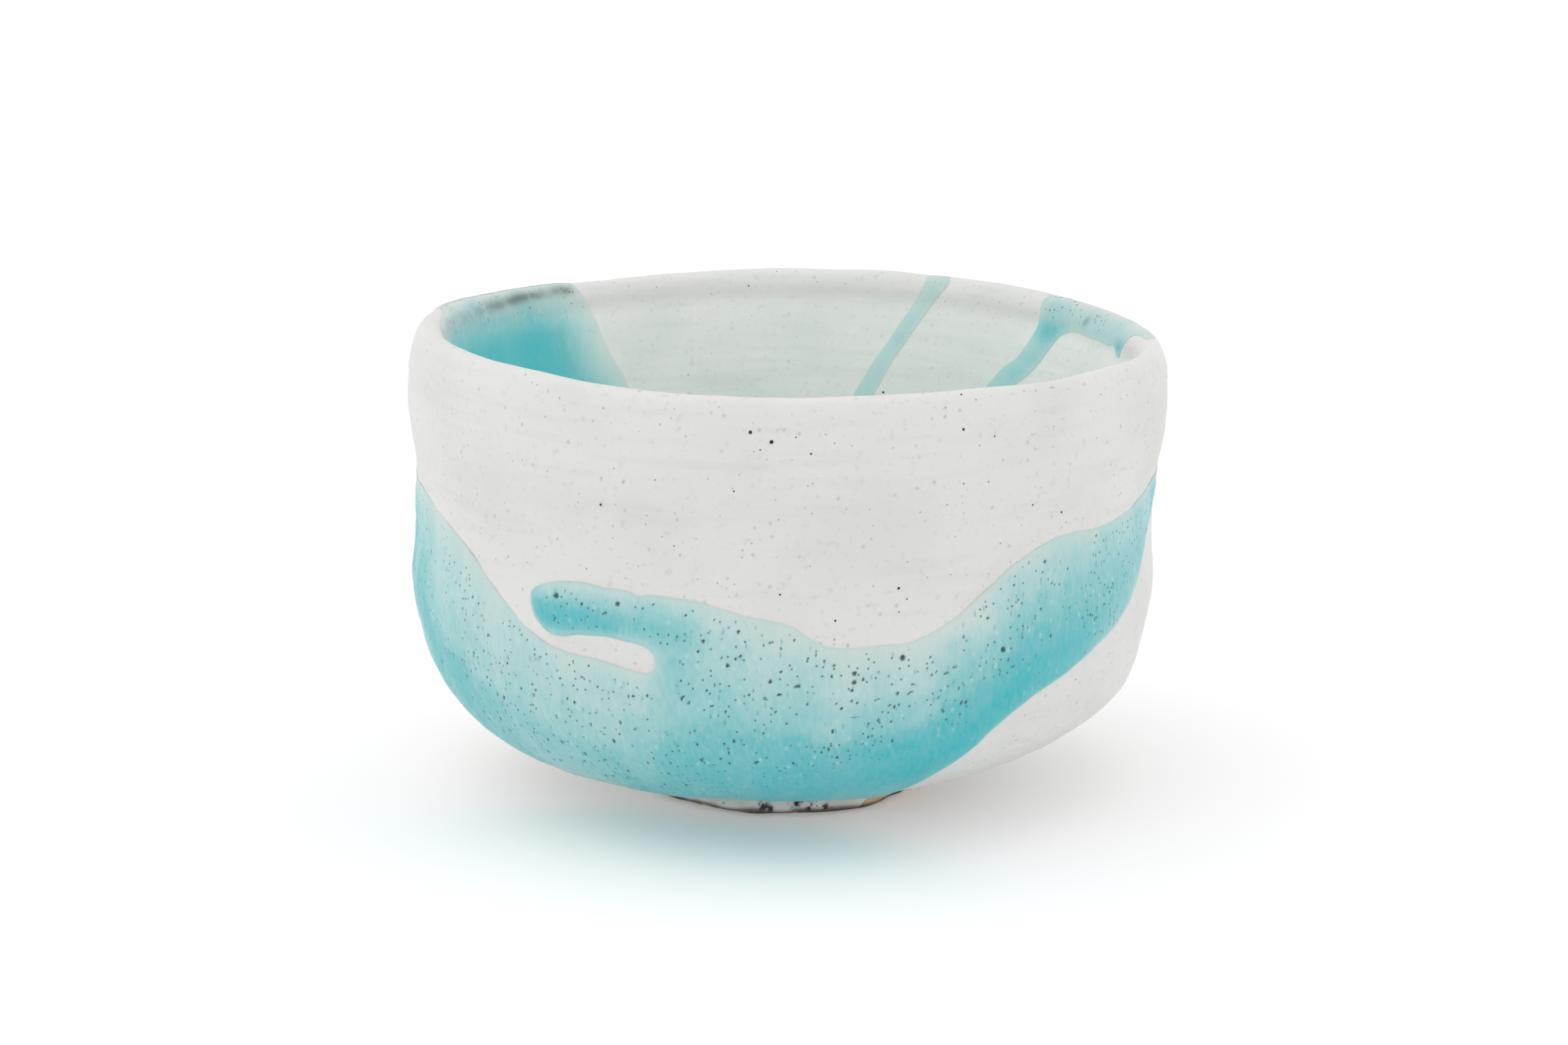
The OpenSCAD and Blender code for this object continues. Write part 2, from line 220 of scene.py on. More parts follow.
def waves(seed, count, shortest, longest, height):
    """Soft random unevenness: a function of x, y, z that sums waves of those lengths."""
    rng = np.random.default_rng(seed)
    turn = rng.normal(size=(count, 3))
    turn /= np.linalg.norm(turn, axis=1)[:, None]
    length = rng.uniform(shortest, longest, count)
    pull = turn * (2 * np.pi / length)[:, None]
    start = rng.uniform(0, 2 * np.pi, count)
    size = height * length / longest

    def at(x, y, z):
        total = 0
        for k in range(count):
            total = total + size[k] * np.sin(pull[k, 0] * x + pull[k, 1] * y + pull[k, 2] * z + start[k])
        return total

    return at


lumps = waves(3, 16, 9 * MM, 34 * MM, 0.05 * MM)
pressed = waves(8, 14, 3 * MM, 8 * MM, 0.012 * MM)


def relief(a, arc):
    """How far the fingers' throwing rings and the glaze's unevenness stand off the smooth wall."""
    r = radius_at(arc)
    z = height_at(arc)
    x = r * np.cos(a)
    y = r * np.sin(a)
    spiral = arc + 1.1 * MM * np.sin(a + 0.7) + a * 0.35 * MM * np.sin(a)
    rings = (
        0.026 * np.sin(2 * np.pi * spiral / (5.3 * MM) + 1.4 * np.sin(a + 2))
        + 0.012 * np.sin(2 * np.pi * spiral / (3.1 * MM) + 2.1 * np.sin(2 * a))
        + 0.060 * np.sin(2 * np.pi * spiral / (11.7 * MM) + 0.6)
    ) * MM
    fade = smooth_step(r, 3 * MM, 16 * MM)
    return fade * rings * (0.8 + 0.35 * np.sin(2 * a + 1)) + lumps(x, y, z) + pressed(x, y, z)


def by_hand(a, r, z):
    """Points at angle a, radius r and height z, once the lip has waved and leant and the belly slumped."""
    h = (z - foot_h) / (bowl_h - foot_h)
    g = (r / bowl_r) ** 2
    k = clamp(h / 0.3)
    swell = SLUMP * 9.5 * k * (1 - k) ** 3
    lift = RIM_WAVE * (
        0.13 * np.sin(2 * a) - 0.93 * np.cos(a) - 0.33 * np.cos(3 * a) - 0.27 * np.sin(3 * a)
    )
    x = r * np.cos(a) + g * (LEAN * (h**4 - 0.4) + swell)
    y = r * np.sin(a)
    return np.stack([x, y, z + g * (lift * h * h + swell * np.cos(a))], axis=-1)


def on_wall(a, arc, proud):
    """Points at angle a (radians) and an arc, that far proud of the white glaze's smooth face."""
    lift = proud + relief(a, arc)
    r = radius_at(arc) + lift * np.interp(arc, SECTION_ARC, SLOPE_Z)
    z = height_at(arc) - lift * np.interp(arc, SECTION_ARC, SLOPE_R)
    return by_hand(a, np.maximum(r, 0), z)


# ---------------------------------------------------------------- meshes


def mesh_object(name, points, faces, material, stands_for=(), facts=None, crease=50):
    """A piece from points and arrays of faces, riding on the bowl. facts are values at each point."""
    mesh = bpy.data.meshes.new(name)
    mesh.vertices.add(len(points))
    mesh.vertices.foreach_set("co", np.asarray(points, np.float32).ravel())
    faces = [np.asarray(group, np.int32) for group in faces if len(group)]
    corners = np.concatenate([group.ravel() for group in faces])
    sizes = np.concatenate([np.full(len(group), group.shape[1]) for group in faces])
    starts = np.concatenate([[0], np.cumsum(sizes)[:-1]])
    mesh.loops.add(len(corners))
    mesh.loops.foreach_set("vertex_index", corners)
    mesh.polygons.add(len(sizes))
    mesh.polygons.foreach_set("loop_start", starts.astype(np.int32))
    mesh.update(calc_edges=True)
    mesh.validate()
    mesh.shade_smooth()
    mesh.set_sharp_from_angle(angle=math.radians(crease))
    for key, values in (facts or {}).items():
        kind = "FLOAT_VECTOR" if np.ndim(values) == 2 else "FLOAT"
        field = mesh.attributes.new(key, kind, "POINT")
        part = "vector" if kind == "FLOAT_VECTOR" else "value"
        field.data.foreach_set(part, np.asarray(values, np.float32).ravel())
    mesh.materials.append(material)
    piece = bpy.data.objects.new(name, mesh)
    bpy.context.scene.collection.objects.link(piece)
    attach(piece, "root")
    if stands_for:
        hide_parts(*stands_for)
    return piece


def ring_faces(rows, columns, looped):
    """Four-sided faces between rings of points, each ring closed on itself."""
    j, i = np.meshgrid(np.arange(rows if looped else rows - 1), np.arange(columns), indexing="ij")
    j, i = j.ravel(), i.ravel()
    up = (j + 1) % rows
    right = (i + 1) % columns
    return np.stack([j * columns + i, j * columns + right, up * columns + right, up * columns + i], axis=1)


def fan_faces(columns, first, middle, flip):
    i = np.arange(columns)
    right = (i + 1) % columns
    fan = np.stack([first + i, first + right, np.full(columns, middle)], axis=1)
    return fan[:, ::-1] if flip else fan


def capped(points, columns, flip, middles=None):
    """Points and faces of rings of points, closed at both ends by fans round two middle points."""
    n = len(points)
    if middles is None:
        middles = [points[:columns].mean(0), points[-columns:].mean(0)]
    faces = [
        ring_faces(n // columns, columns, False),
        fan_faces(columns, 0, n, True),
        fan_faces(columns, n - columns, n + 1, False),
    ]
    if flip:
        faces = [group[:, ::-1] for group in faces]
    return np.concatenate([points, middles]), faces


def facts_at(a, arc):
    """What the glazes' materials read: a point's place on the wall, how far in the cup it is, and the band on
    the lip where a highlight is painted.
    """
    wall = np.stack([a * bowl_r, arc, np.zeros_like(arc)], axis=1)
    inner = smooth_step(arc, crest_arc + 0.5 * MM, crest_arc + 9 * MM)
    return {"wall": wall, "inner": inner, "lip": bump(arc, crest_arc + 1.2 * MM, 2.8 * MM)}


def turned_shell(name, rows, columns, material, stands_for, open_ends):
    """A closed skin from rows of (arc, proud). With open_ends its first and last rows close at the middle."""
    a = np.linspace(0, 2 * np.pi, columns, endpoint=False)
    arcs = np.array([arc for arc, _ in rows])
    proud = np.array([lift for _, lift in rows])
    all_a = np.tile(a, len(rows))
    all_arc = np.repeat(arcs, columns)
    points = on_wall(all_a, all_arc, np.repeat(proud, columns))
    if open_ends:
        points, faces = capped(points, columns, False)
        all_a = np.concatenate([all_a, [0, 0]])
        all_arc = np.concatenate([all_arc, [end_arc, end_arc]])
    else:
        faces = [ring_faces(len(rows), columns, True)]
    return mesh_object(name, points, faces, material, stands_for, facts_at(all_a, all_arc))


def clipped_skin(name, angles, arcs, keep, proud, place, material, stands_for, facts):
    """A closed skin over the part of a grid of angles and arcs where keep is above 0.

    proud says how thick it is at each place, and its back is sunk into what is under it."""
    grid_a, grid_s = np.meshgrid(angles, arcs, indexing="ij")
    value = keep(grid_a.ravel(), grid_s.ravel()).reshape(grid_a.shape)
    inside = value > 0
    number = np.full(grid_a.shape, -1)
    number[inside] = np.arange(inside.sum())
    cut_a, cut_s, cuts = [], [], {}

    def cut(p, q):
        """The point where the outline crosses the line between two grid points."""
        key = (p, q) if p < q else (q, p)
        if key not in cuts:
            p, q = key
            part = min(max(value[p] / (value[p] - value[q]), 0.12), 0.88)
            cut_a.append(grid_a[p] + part * (grid_a[q] - grid_a[p]))
            cut_s.append(grid_s[p] + part * (grid_s[q] - grid_s[p]))
            cuts[key] = int(inside.sum()) + len(cuts)
        return cuts[key]

    corner = [inside[:-1, :-1], inside[1:, :-1], inside[1:, 1:], inside[:-1, 1:]]
    full = corner[0] & corner[1] & corner[2] & corner[3]
    numbers = [number[:-1, :-1], number[1:, :-1], number[1:, 1:], number[:-1, 1:]]
    groups = {4: [np.stack([n[full] for n in numbers], axis=1)], 3: [], 5: [], 6: []}
    some = (corner[0] | corner[1] | corner[2] | corner[3]) & ~full
    for i, j in zip(*np.nonzero(some)):
        spots = [(i, j), (i + 1, j), (i + 1, j + 1), (i, j + 1)]
        face = []
        for k in range(4):
            here, there = spots[k], spots[(k + 1) % 4]
            if inside[here]:
                face.append(number[here])
            if inside[here] != inside[there]:
                face.append(cut(here, there))
        groups[len(face)].append([face])
    front = [np.concatenate(group) for group in groups.values() if group]
    all_a = np.concatenate([grid_a[inside], cut_a])
    all_s = np.concatenate([grid_s[inside], cut_s])
    count = len(all_a)
    edges = np.concatenate([np.stack([f, np.roll(f, -1, axis=1)], axis=-1).reshape(-1, 2) for f in front])
    codes = edges[:, 0] * count + edges[:, 1]
    rim = edges[~np.isin(codes, edges[:, 1] * count + edges[:, 0])]
    wall = np.stack([rim[:, 1], rim[:, 0], rim[:, 0] + count, rim[:, 1] + count], axis=1)
    back = [f[:, ::-1] + count for f in front]
    face_points = place(all_a, all_s, proud(all_a, all_s))
    back_points = place(all_a, all_s, np.full(count, -BACK_SUNK))
    marks = facts_at(all_a, all_s)
    for key, value_at in facts.items():
        marks[key] = value_at(all_a, all_s)
    marks = {key: np.concatenate([v, v]) for key, v in marks.items()}
    points = np.concatenate([face_points, back_points])
    return mesh_object(name, points, [*front, *back, wall], material, stands_for, marks)


# ---------------------------------------------------------------- distances on the wall


def segments(points, a, arc):
    """Each of a line's segments seen from each place: start and run, measured along the wall."""
    reach = radius_at(arc)[:, None]
    x = (points[:, 0] - a[:, None]) * reach
    y = points[:, 1] - arc[:, None]
    return x, y


def in_chunks(work, a, arc, size=6000):
    parts = np.array_split(np.arange(len(a)), len(a) // size + 1)
    return np.concatenate([work(a[part], arc[part]) for part in parts])


def shore(outline, a, arc):
    """How far inside a closed outline each place is, in metres, below 0 outside it."""

    def work(a, arc):
        x1, y1 = segments(outline, a, arc)
        x2, y2 = np.roll(x1, -1, axis=1), np.roll(y1, -1, axis=1)
        dx, dy = x2 - x1, y2 - y1
        t = clamp(-(x1 * dx + y1 * dy) / np.maximum(dx * dx + dy * dy, 1e-18))
        near = np.sqrt(((x1 + t * dx) ** 2 + (y1 + t * dy) ** 2).min(axis=1))
        passed = ((y1 > 0) != (y2 > 0)) & (x1 - y1 * dx / np.where(dy == 0, 1e-12, dy) > 0)
        return np.where(passed.sum(axis=1) % 2 == 1, near, -near)

    return in_chunks(work, a, arc)


def trail(line, halves, a, arc):
    """How far inside a run each place is: a line with its half width at each of its points."""

    def work(a, arc):
        x, y = segments(line, a, arc)
        x1, y1 = x[:, :-1], y[:, :-1]
        dx, dy = np.diff(x, axis=1), np.diff(y, axis=1)
        t = clamp(-(x1 * dx + y1 * dy) / np.maximum(dx * dx + dy * dy, 1e-18))
        half = halves[:-1] + t * np.diff(halves)
        return (half - np.hypot(x1 + t * dx, y1 + t * dy)).max(axis=1)

    return in_chunks(work, a, arc)


def joined(one, two, soft):
    """Two shapes' distances run together, with a fillet about as wide as soft."""
    h = clamp(0.5 + 0.5 * (one - two) / soft)
    return two * (1 - h) + one * h + soft * h * (1 - h)


def drawn(points, arc_of, per=5):
    """A smooth line through [angle, height in mm] points, as radians and arcs."""
    line = eased(points, np.linspace(0, 1, per * (len(points) - 1) + 1))
    return np.stack([np.radians(line[:, 0]), arc_of(line[:, 1] * MM)], axis=1)


def level(points, a, arc_of):
    """The arc of a line of [angle, height in mm] points, at angles a."""
    line = drawn(points, arc_of)
    line = line[np.argsort(line[:, 0])]
    return np.interp(a, line[:, 0], line[:, 1])


# ---------------------------------------------------------------- where the turquoise lies

ripple = waves(21, 12, 3 * MM, 9 * MM, 0.05 * MM)


def wavering(a, arc):
    """The small wandering of a glaze's edge."""
    r = radius_at(arc)
    return ripple(r * np.cos(a), r * np.sin(a), height_at(arc))


belt_outline = drawn([*BELT_TOP, *SLIT_END, *TONGUE_FOOT, *TONGUE_TIP, *TONGUE_TOP, *BELT_FOOT], outside_arc)
back_right = math.radians(SHEET_FROM - 360)
back_left = math.radians(SHEET_TO - 360)
# From here on round to the front, the belt holds what is above the seam as well.
seam_left = math.radians(-181)


def back_sides(a, arc):
    """Distance inside the sides of the pour over the lip, which flare out as it falls."""
    r = radius_at(arc)
    low, high = sorted([back_left, back_right])
    flare = 3 * MM * smooth_step(crest_arc - arc, 6 * MM, 22 * MM)
    return np.minimum(np.minimum((a - low) * r, (high - a) * r) + flare, arc - outside_arc(45 * MM))


def poured_outside(a, arc):
    """Distance inside all the turquoise outside."""
    return joined(shore(belt_outline, a, arc), back_sides(a, arc), 5 * MM) + wavering(a, arc)


def back_seam(a):
    """The arc at which the pour over the lip hands over to the belt."""
    return level(BELT_TOP, a, outside_arc)


def sheet_inside(a, arc):
    """Distance inside the pour that ran from the lip down the inner wall at the back left."""
    r = radius_at(arc)
    right = level_angle(SHEET_RIGHT, arc)
    left = level_angle(SHEET_LEFT, arc)
    return np.minimum((a - right) * r, (left - a) * r)


def level_angle(points, arc):
    """The angle of a line of [angle, height in mm] points, at arcs inside."""
    line = drawn(points, inside_arc)
    line = line[np.argsort(line[:, 1])]
    return np.interp(arc, line[:, 1], line[:, 0])


def run(points, widths):
    """A run's line and half widths, from its [angle, height in mm] points and widths in mm."""
    line = drawn(points, inside_arc)
    halves = np.interp(np.linspace(0, 1, len(line)), np.linspace(0, 1, len(widths)), widths) / 2 * MM
    return line, halves


thin_line = run(THIN_RUN, [4.4, 2.9, 2.4, 2.9, 3.3, 3.6, 4.4, 5])
bar_line = run(FORK_BAR, [1.6, 2.4, 4.6, 7, 7.1, 8])
long_line = run(FORK_LONG, [5.6, 4.6, 3.9, 3.8, 3.8, 3.8, 4.6, 5])
short_line = run(FORK_SHORT, [5.4, 4.2, 3.2, 2])


def thin_run(a, arc):
    return trail(*thin_line, a, arc)


def forked_run(a, arc):
    fork = joined(trail(*bar_line, a, arc), trail(*long_line, a, arc), 3 * MM)
    return joined(fork, trail(*short_line, a, arc), 2 * MM)


def pool_edge(a):
    """The pool's radius, a little uneven."""
    wander = 0.03 * np.sin(2 * a + 1) + 0.02 * np.sin(3 * a) + 0.012 * np.sin(7 * a + 2)
    return POOL_PART * bowl_r * (1 + wander)


def in_pool(a, arc):
    """Distance inside the pool, counted along the floor."""
    inner = arc > inside_arc(40 * MM)
    return np.where(inner, pool_edge(a) - radius_at(arc), -50 * MM)


def poured_inside(a, arc):
    """Distance inside all the turquoise inside."""
    runs = np.maximum(np.maximum(sheet_inside(a, arc), thin_run(a, arc)), forked_run(a, arc))
    return joined(runs, in_pool(a, arc), 3 * MM) + wavering(a, arc)


def flowed(run_at, a, arc):
    """Distance inside one of the pours inside, with the fillets where it meets the pool."""
    return joined(run_at(a, arc), in_pool(a, arc) - 0.3 * MM, 3 * MM) + wavering(a, arc)


# ---------------------------------------------------------------- the pours' thickness and depth of colour


def rounded(distance, width):
    """From 0 at an edge to 1 a width inside it, as a drop's edge is round."""
    t = clamp(distance / width)
    return np.sqrt(1 - (1 - t) ** 2)


def share_down(a, arc):
    """From 0 at the height of the belt's upper edge to 1 at that of its lower one."""
    left = height_at(level(BELT_TOP, a, outside_arc))
    right = height_at(level(TONGUE_TOP, a, outside_arc))
    top = left + (right - left) * smooth_step(np.degrees(a), -112, -104)
    foot = height_at(level(BELT_FOOT, a, outside_arc))
    return clamp((top - height_at(arc)) / np.maximum(top - foot, 2 * MM))


def pit_places(seed, count, angles, heights, size):
    """Random pits: angle, arc, half width and stretch, smaller and rounder high up."""
    rng = np.random.default_rng(seed)
    a = np.radians(rng.uniform(*angles, count))
    arc = outside_arc(rng.uniform(*heights, count) * MM)
    half = rng.uniform(*size, count) * MM
    stretch = rng.uniform(0.9, 1.4, count) + 1.2 * smooth_step(-arc, -outside_arc(30 * MM), 0)
    return np.stack([a, arc, half, stretch], axis=1)


# Pits big enough to count one by one: [angle, height in mm, half width in mm]
BIG_PITS = [
    (-125, 41, 0.55), (-114.6, 41.2, 0.5), (-112, 42.2, 0.5), (-120.5, 40.4, 0.35), (-116.5, 39.6, 0.35),
    (-109, 41.6, 0.3), (-96.5, 38.4, 0.4), (-101.5, 36.8, 0.4), (-102.3, 35.2, 0.35), (-98, 33.4, 0.45),
    (-105, 33.5, 0.3), (-92, 31, 0.45), (-88, 30.2, 0.4), (-80, 32, 0.5), (-80, 30.6, 0.5),
    (-80.3, 29.4, 0.4), (-83, 33.4, 0.35), (-73.5, 28.4, 0.4), (-66, 31, 0.35), (-60.8, 41.5, 0.4),
    (-59.5, 38.6, 0.35), (-49, 45.6, 0.4), (-37, 47.6, 0.4), (-57, 33.5, 0.55), (-73, 34, 0.6),
]


def all_pits():
    big = np.array([(math.radians(a), outside_arc(h * MM), w * MM, 1.1) for a, h, w in BIG_PITS])
    high = pit_places(5, 260, (-147, -32), (27, 46), (0.16, 0.32))
    low = pit_places(6, 240, (-152, -62), (9, 30), (0.18, 0.36))
    behind = pit_places(7, 90, (-238, -150), (20, 52), (0.16, 0.3))
    return np.concatenate([big, high, low, behind])


PITS = all_pits()


def pitted(a, arc):
    """From 0 on sound glaze to 1 in the middle of a pit."""
    depth = np.zeros_like(a)
    r = radius_at(arc)
    for pit_a, pit_arc, half, stretch in PITS:
        near = np.abs(arc - pit_arc) < 4 * half * stretch
        x = (a[near] - pit_a) * r[near] / half
        y = (arc[near] - pit_arc) / (half * stretch)
        depth[near] = np.maximum(depth[near], np.exp(-(x * x + y * y) * 1.1))
    sound = smooth_step(belt_depth(a, arc), 0.6, 0.85)
    return depth * smooth_step(poured_outside(a, arc), 0.4 * MM, 1.2 * MM) * (1 - 0.8 * sound)


def outside_thickness(a, arc):
    """Thin and feathered along the upper edges, thicker and rolled along the lower ones."""
    distance = poured_outside(a, arc)
    down = smooth_step(share_down(a, arc), 0.5, 0.9)
    feathered = smooth_step(distance, -0.5 * MM, 3.2 * MM)
    edge = feathered + (rounded(distance, 1.6 * MM) - feathered) * down
    lip_thin = 1 - 0.35 * smooth_step(arc, crest_arc - 7 * MM, crest_arc)
    return (0.08 * MM + (0.24 + 0.2 * down) * MM * edge) * lip_thin - 0.2 * MM * pitted(a, arc) * edge


def inside_thickness(a, arc):
    distance = poured_inside(a, arc)
    lip_thin = 1 - 0.35 * smooth_step(-arc, -crest_arc - 7 * MM, -crest_arc)
    return (0.08 * MM + 0.16 * MM * smooth_step(distance, -0.5 * MM, 3 * MM)) * lip_thin


def belt_depth(a, arc):
    """BELT_DEPTH between its rows and columns."""
    table = np.array(BELT_DEPTH)
    step = share_down(a, arc) * 5
    column = np.minimum(step.astype(int), 4)
    column_part = smooth_step(step - column, 0, 1)
    row = np.clip(np.searchsorted(table[:, 0], np.degrees(a)) - 1, 0, len(table) - 2)
    row_part = smooth_step(np.degrees(a), table[row, 0], table[row + 1, 0])
    here = table[row, column + 1] * (1 - column_part) + table[row, column + 2] * column_part
    there = table[row + 1, column + 1] * (1 - column_part) + table[row + 1, column + 2] * column_part
    return here * (1 - row_part) + there * row_part


def outside_tint(a, arc):
    """How deep the turquoise outside is, from 0, milky, to 1."""
    deg = np.degrees(a)
    z = height_at(arc) / MM
    tint = belt_depth(a, arc)
    # The tongue's own glaze ran to its lower side and its tip.
    slit = 33.4 + 4.2 * smooth_step(-deg, 124, 132)
    tongue = smooth_step(-deg, 98, 110) * smooth_step(z, slit, slit + 1.2) * (deg > -133)
    core = bump(z, 38.2, 2.9) * (1 - 0.55 * smooth_step(deg, -124, -104))
    tint = tint * (1 - tongue) + tongue * (0.20 + 0.54 * core)
    tint = tint + 0.12 * bump(deg, -105, 4) * bump(z, 34, 6)
    # The colour is paler in one place near the right's upper edge.
    tint = tint - 0.16 * bump(deg, -64, 4) * bump(z, 38.6, 2.2)
    # The pour over the lip is thin at the crest and deepens as it falls into the belt.
    poured = smooth_step(back_sides(a, arc), -1 * MM, 4 * MM)
    over = smooth_step(arc, crest_arc - 12 * MM, crest_arc - 3 * MM)
    tint = tint * smooth_step(-z, -60, -50)
    return np.maximum(tint, 0.04 + poured * (0.44 - 0.12 * smooth_step(z, 50, 60) - 0.28 * over))


def inside_tint(a, arc):
    """How deep the turquoise inside is: deep in the sheet and the pool, lighter in the runs."""
    deg = np.degrees(a)
    sheet = smooth_step(deg, 100, 106) * smooth_step(-deg, -215, -205)
    fallen = smooth_step(arc, crest_arc + 2 * MM, crest_arc + 11 * MM)
    soft_side = smooth_step(sheet_inside(a, arc), -2.5 * MM, 14 * MM)
    z = height_at(arc) / MM
    tint = 0.13 + 0.08 * fallen + 0.10 * smooth_step(-deg, -60, -45)
    tint = tint + 0.32 * bump(deg, 37, 4) * bump(z, 67.6, 1.8) + 0.3 * bump(deg, 11, 4) * bump(z, 69.2, 1.2)
    tint = tint * (1 - sheet) + sheet * soft_side * (0.28 + 0.52 * fallen)
    pool = smooth_step(in_pool(a, arc), -3 * MM, 6 * MM)
    tint = tint + pool * (0.86 - tint)
    over = smooth_step(-arc, -crest_arc - 2.5 * MM, -crest_arc - 0.5 * MM)
    return tint * (1 - over) + 0.05 * over


def smear(a, arc):
    """The burnt iron streak just inside the lip, where the glaze broke thin."""
    deg = np.degrees(a)
    along = smooth_step(deg, 130, 134) * (0.35 + 0.65 * smooth_step(-deg, -166, -148))
    sunk = (2 + 1.3 * smooth_step(deg, 134, 166)) * MM
    spot = bump(deg, 26.5, 0.9) * bump(arc, inside_arc(70.9 * MM), 0.8 * MM)
    return along * bump(arc, crest_arc + sunk, 1 * MM) + spot


# ---------------------------------------------------------------- materials


# The studio is lit bright enough to burn out its floor: a surface that faces the camera sends back
# this much of the light per unit of its own colour, and its gloss adds this much white.
BRIGHTNESS = 1.0
GLOSS = 0.04


def fired(code):
    """A surface's own colour, from the six-digit code of how it looks under the studio's light."""
    parts = [int(code[k : k + 2], 16) / 255 for k in (1, 3, 5)]
    seen = [p / 12.92 if p <= 0.04045 else ((p + 0.055) / 1.055) ** 2.4 for p in parts]
    return (*[max((p - GLOSS) / BRIGHTNESS, 0.004) for p in seen], 1)


class Glaze:
    """A material being put together: add() makes a node and gives its outputs."""

    def __init__(self, name, roughness, specular=0.5):
        self.material = bpy.data.materials.new(name)
        self.material.use_nodes = True
        self.nodes = self.material.node_tree.nodes
        self.nodes.clear()
        output = self.nodes.new("ShaderNodeOutputMaterial")
        self.shader = self.nodes.new("ShaderNodeBsdfPrincipled")
        self.shader.inputs["Roughness"].default_value = roughness
        self.shader.inputs["Specular IOR Level"].default_value = specular
        self.material.node_tree.links.new(self.shader.outputs[0], output.inputs[0])
        self.where = self.add("TexCoord")["Object"]

    def add(self, kind, inputs=None, **settings):
        made = self.nodes.new("ShaderNode" + kind)
        for key, value in settings.items():
            setattr(made, key, value)
        for key, value in (inputs or {}).items():
            self.put(value, made.inputs[key])
        return made.outputs

    def put(self, value, socket):
        if isinstance(value, bpy.types.NodeSocket):
            self.material.node_tree.links.new(value, socket)
        else:
            socket.default_value = value

    def fact(self, name, vector=False):
        return self.add("Attribute", attribute_name=name)["Vector" if vector else "Fac"]

    def sum(self, a, b, how="ADD"):
        return self.add("Math", {0: a, 1: b}, operation=how)[0]

    def times(self, a, b):
        return self.sum(a, b, "MULTIPLY")

    def between(self, value, low, high, to_low=0.0, to_high=1.0):
        ends = {"From Min": low, "From Max": high, "To Min": to_low, "To Max": to_high}
        return self.add("MapRange", {"Value": value, **ends}, interpolation_type="SMOOTHSTEP")[0]

    def mix(self, part, a, b):
        return self.add("Mix", {0: part, 6: a, 7: b}, data_type="RGBA")[2]

    def over(self, colour, part, code):
        """The colour with another one laid over a part of it."""
        return self.mix(part, colour, fired(code))

    def scaled(self, vector, scale, shift=(0, 0, 0)):
        return self.add("Mapping", {"Vector": vector, "Scale": scale, "Location": shift})[0]

    def noise(self, scale, detail=3.0, vector=None, shift=(0, 0, 0), rough=0.5):
        size = scale if isinstance(scale, tuple) else (scale, scale, scale)
        place = self.scaled(vector or self.where, size, shift)
        return self.add("TexNoise", {"Vector": place, "Scale": 1.0, "Detail": detail, "Roughness": rough})[0]

    def specks(self, cell, radius, share, seed, wall=None, stretch=1.0, soft=0.5):
        """Round spots of a radius in cells that wide, all in metres; a share of the cells has one.

        Along wall they lie flat on it, stretched down it."""
        size = (1 / cell, 1 / cell / stretch, 1 / cell) if wall else (1 / cell,) * 3
        place = self.scaled(wall or self.where, size, (seed, seed * 1.7, seed * 2.3))
        flat = "2D" if wall else "3D"
        cells = self.add("TexVoronoi", {"Vector": place, "Scale": 1.0}, voronoi_dimensions=flat)
        spot = self.between(cells["Distance"], radius / cell, radius / cell * soft)
        chance = self.add("SeparateColor", {0: cells["Color"]})[0]
        return self.times(spot, self.sum(chance, share, "LESS_THAN"))

    def fainter(self, marks, strength):
        """Marks at that strength on the outside, and at under half of it deep in the cup."""
        return self.times(marks, self.between(self.fact("inner"), 0, 1, strength, 0.45 * strength))

    def ramp(self, value, stops):
        made = self.nodes.new("ShaderNodeValToRGB")
        self.put(value, made.inputs[0])
        steps = made.color_ramp.elements
        while len(steps) < len(stops):
            steps.new(0.5)
        for step, (at, code) in zip(steps, stops):
            step.position = at
            step.color = fired(code)
        return made.outputs[0]

    def painted_cup_light(self, colour, deep, lip=1.0):
        """The colour, that many times as bright deep in the cup and on the lip: painted light, lifting the
        shade deep in the cup and painting a highlight on the lip.
        """
        part = self.between(self.fact("inner"), 0.4, 1, 1, deep)
        part = self.times(part, self.between(self.fact("lip"), 0, 1, 1, lip))
        return self.add("VectorMath", {0: colour, "Scale": part}, operation="SCALE")[0]

    def finish(self, colour, roughness=None, heights=None, depth=0.1 * MM):
        self.put(colour, self.shader.inputs["Base Color"])
        if roughness is not None:
            self.put(roughness, self.shader.inputs["Roughness"])
        if heights is not None:
            raised = self.add("Bump", {"Height": heights, "Distance": depth, "Strength": 1.0})[0]
            self.put(raised, self.shader.inputs["Normal"])
        return self.material


# Marks in the white glaze, from freckles to pinholes:
# [width of their cells in mm, radius in mm, seed, softness, strength, colour]
WHITE_MARKS = [
    (2.3, 0.45, 1.3, 0.2, 0.4, "#a39a8f"), (1.7, 0.2, 4.1, 0.5, 0.6, "#8f877c"),
    (3.6, 0.22, 7.7, 0.5, 0.7, "#a5834c"), (4.2, 0.15, 9.2, 0.6, 0.9, "#4a4641"),
]


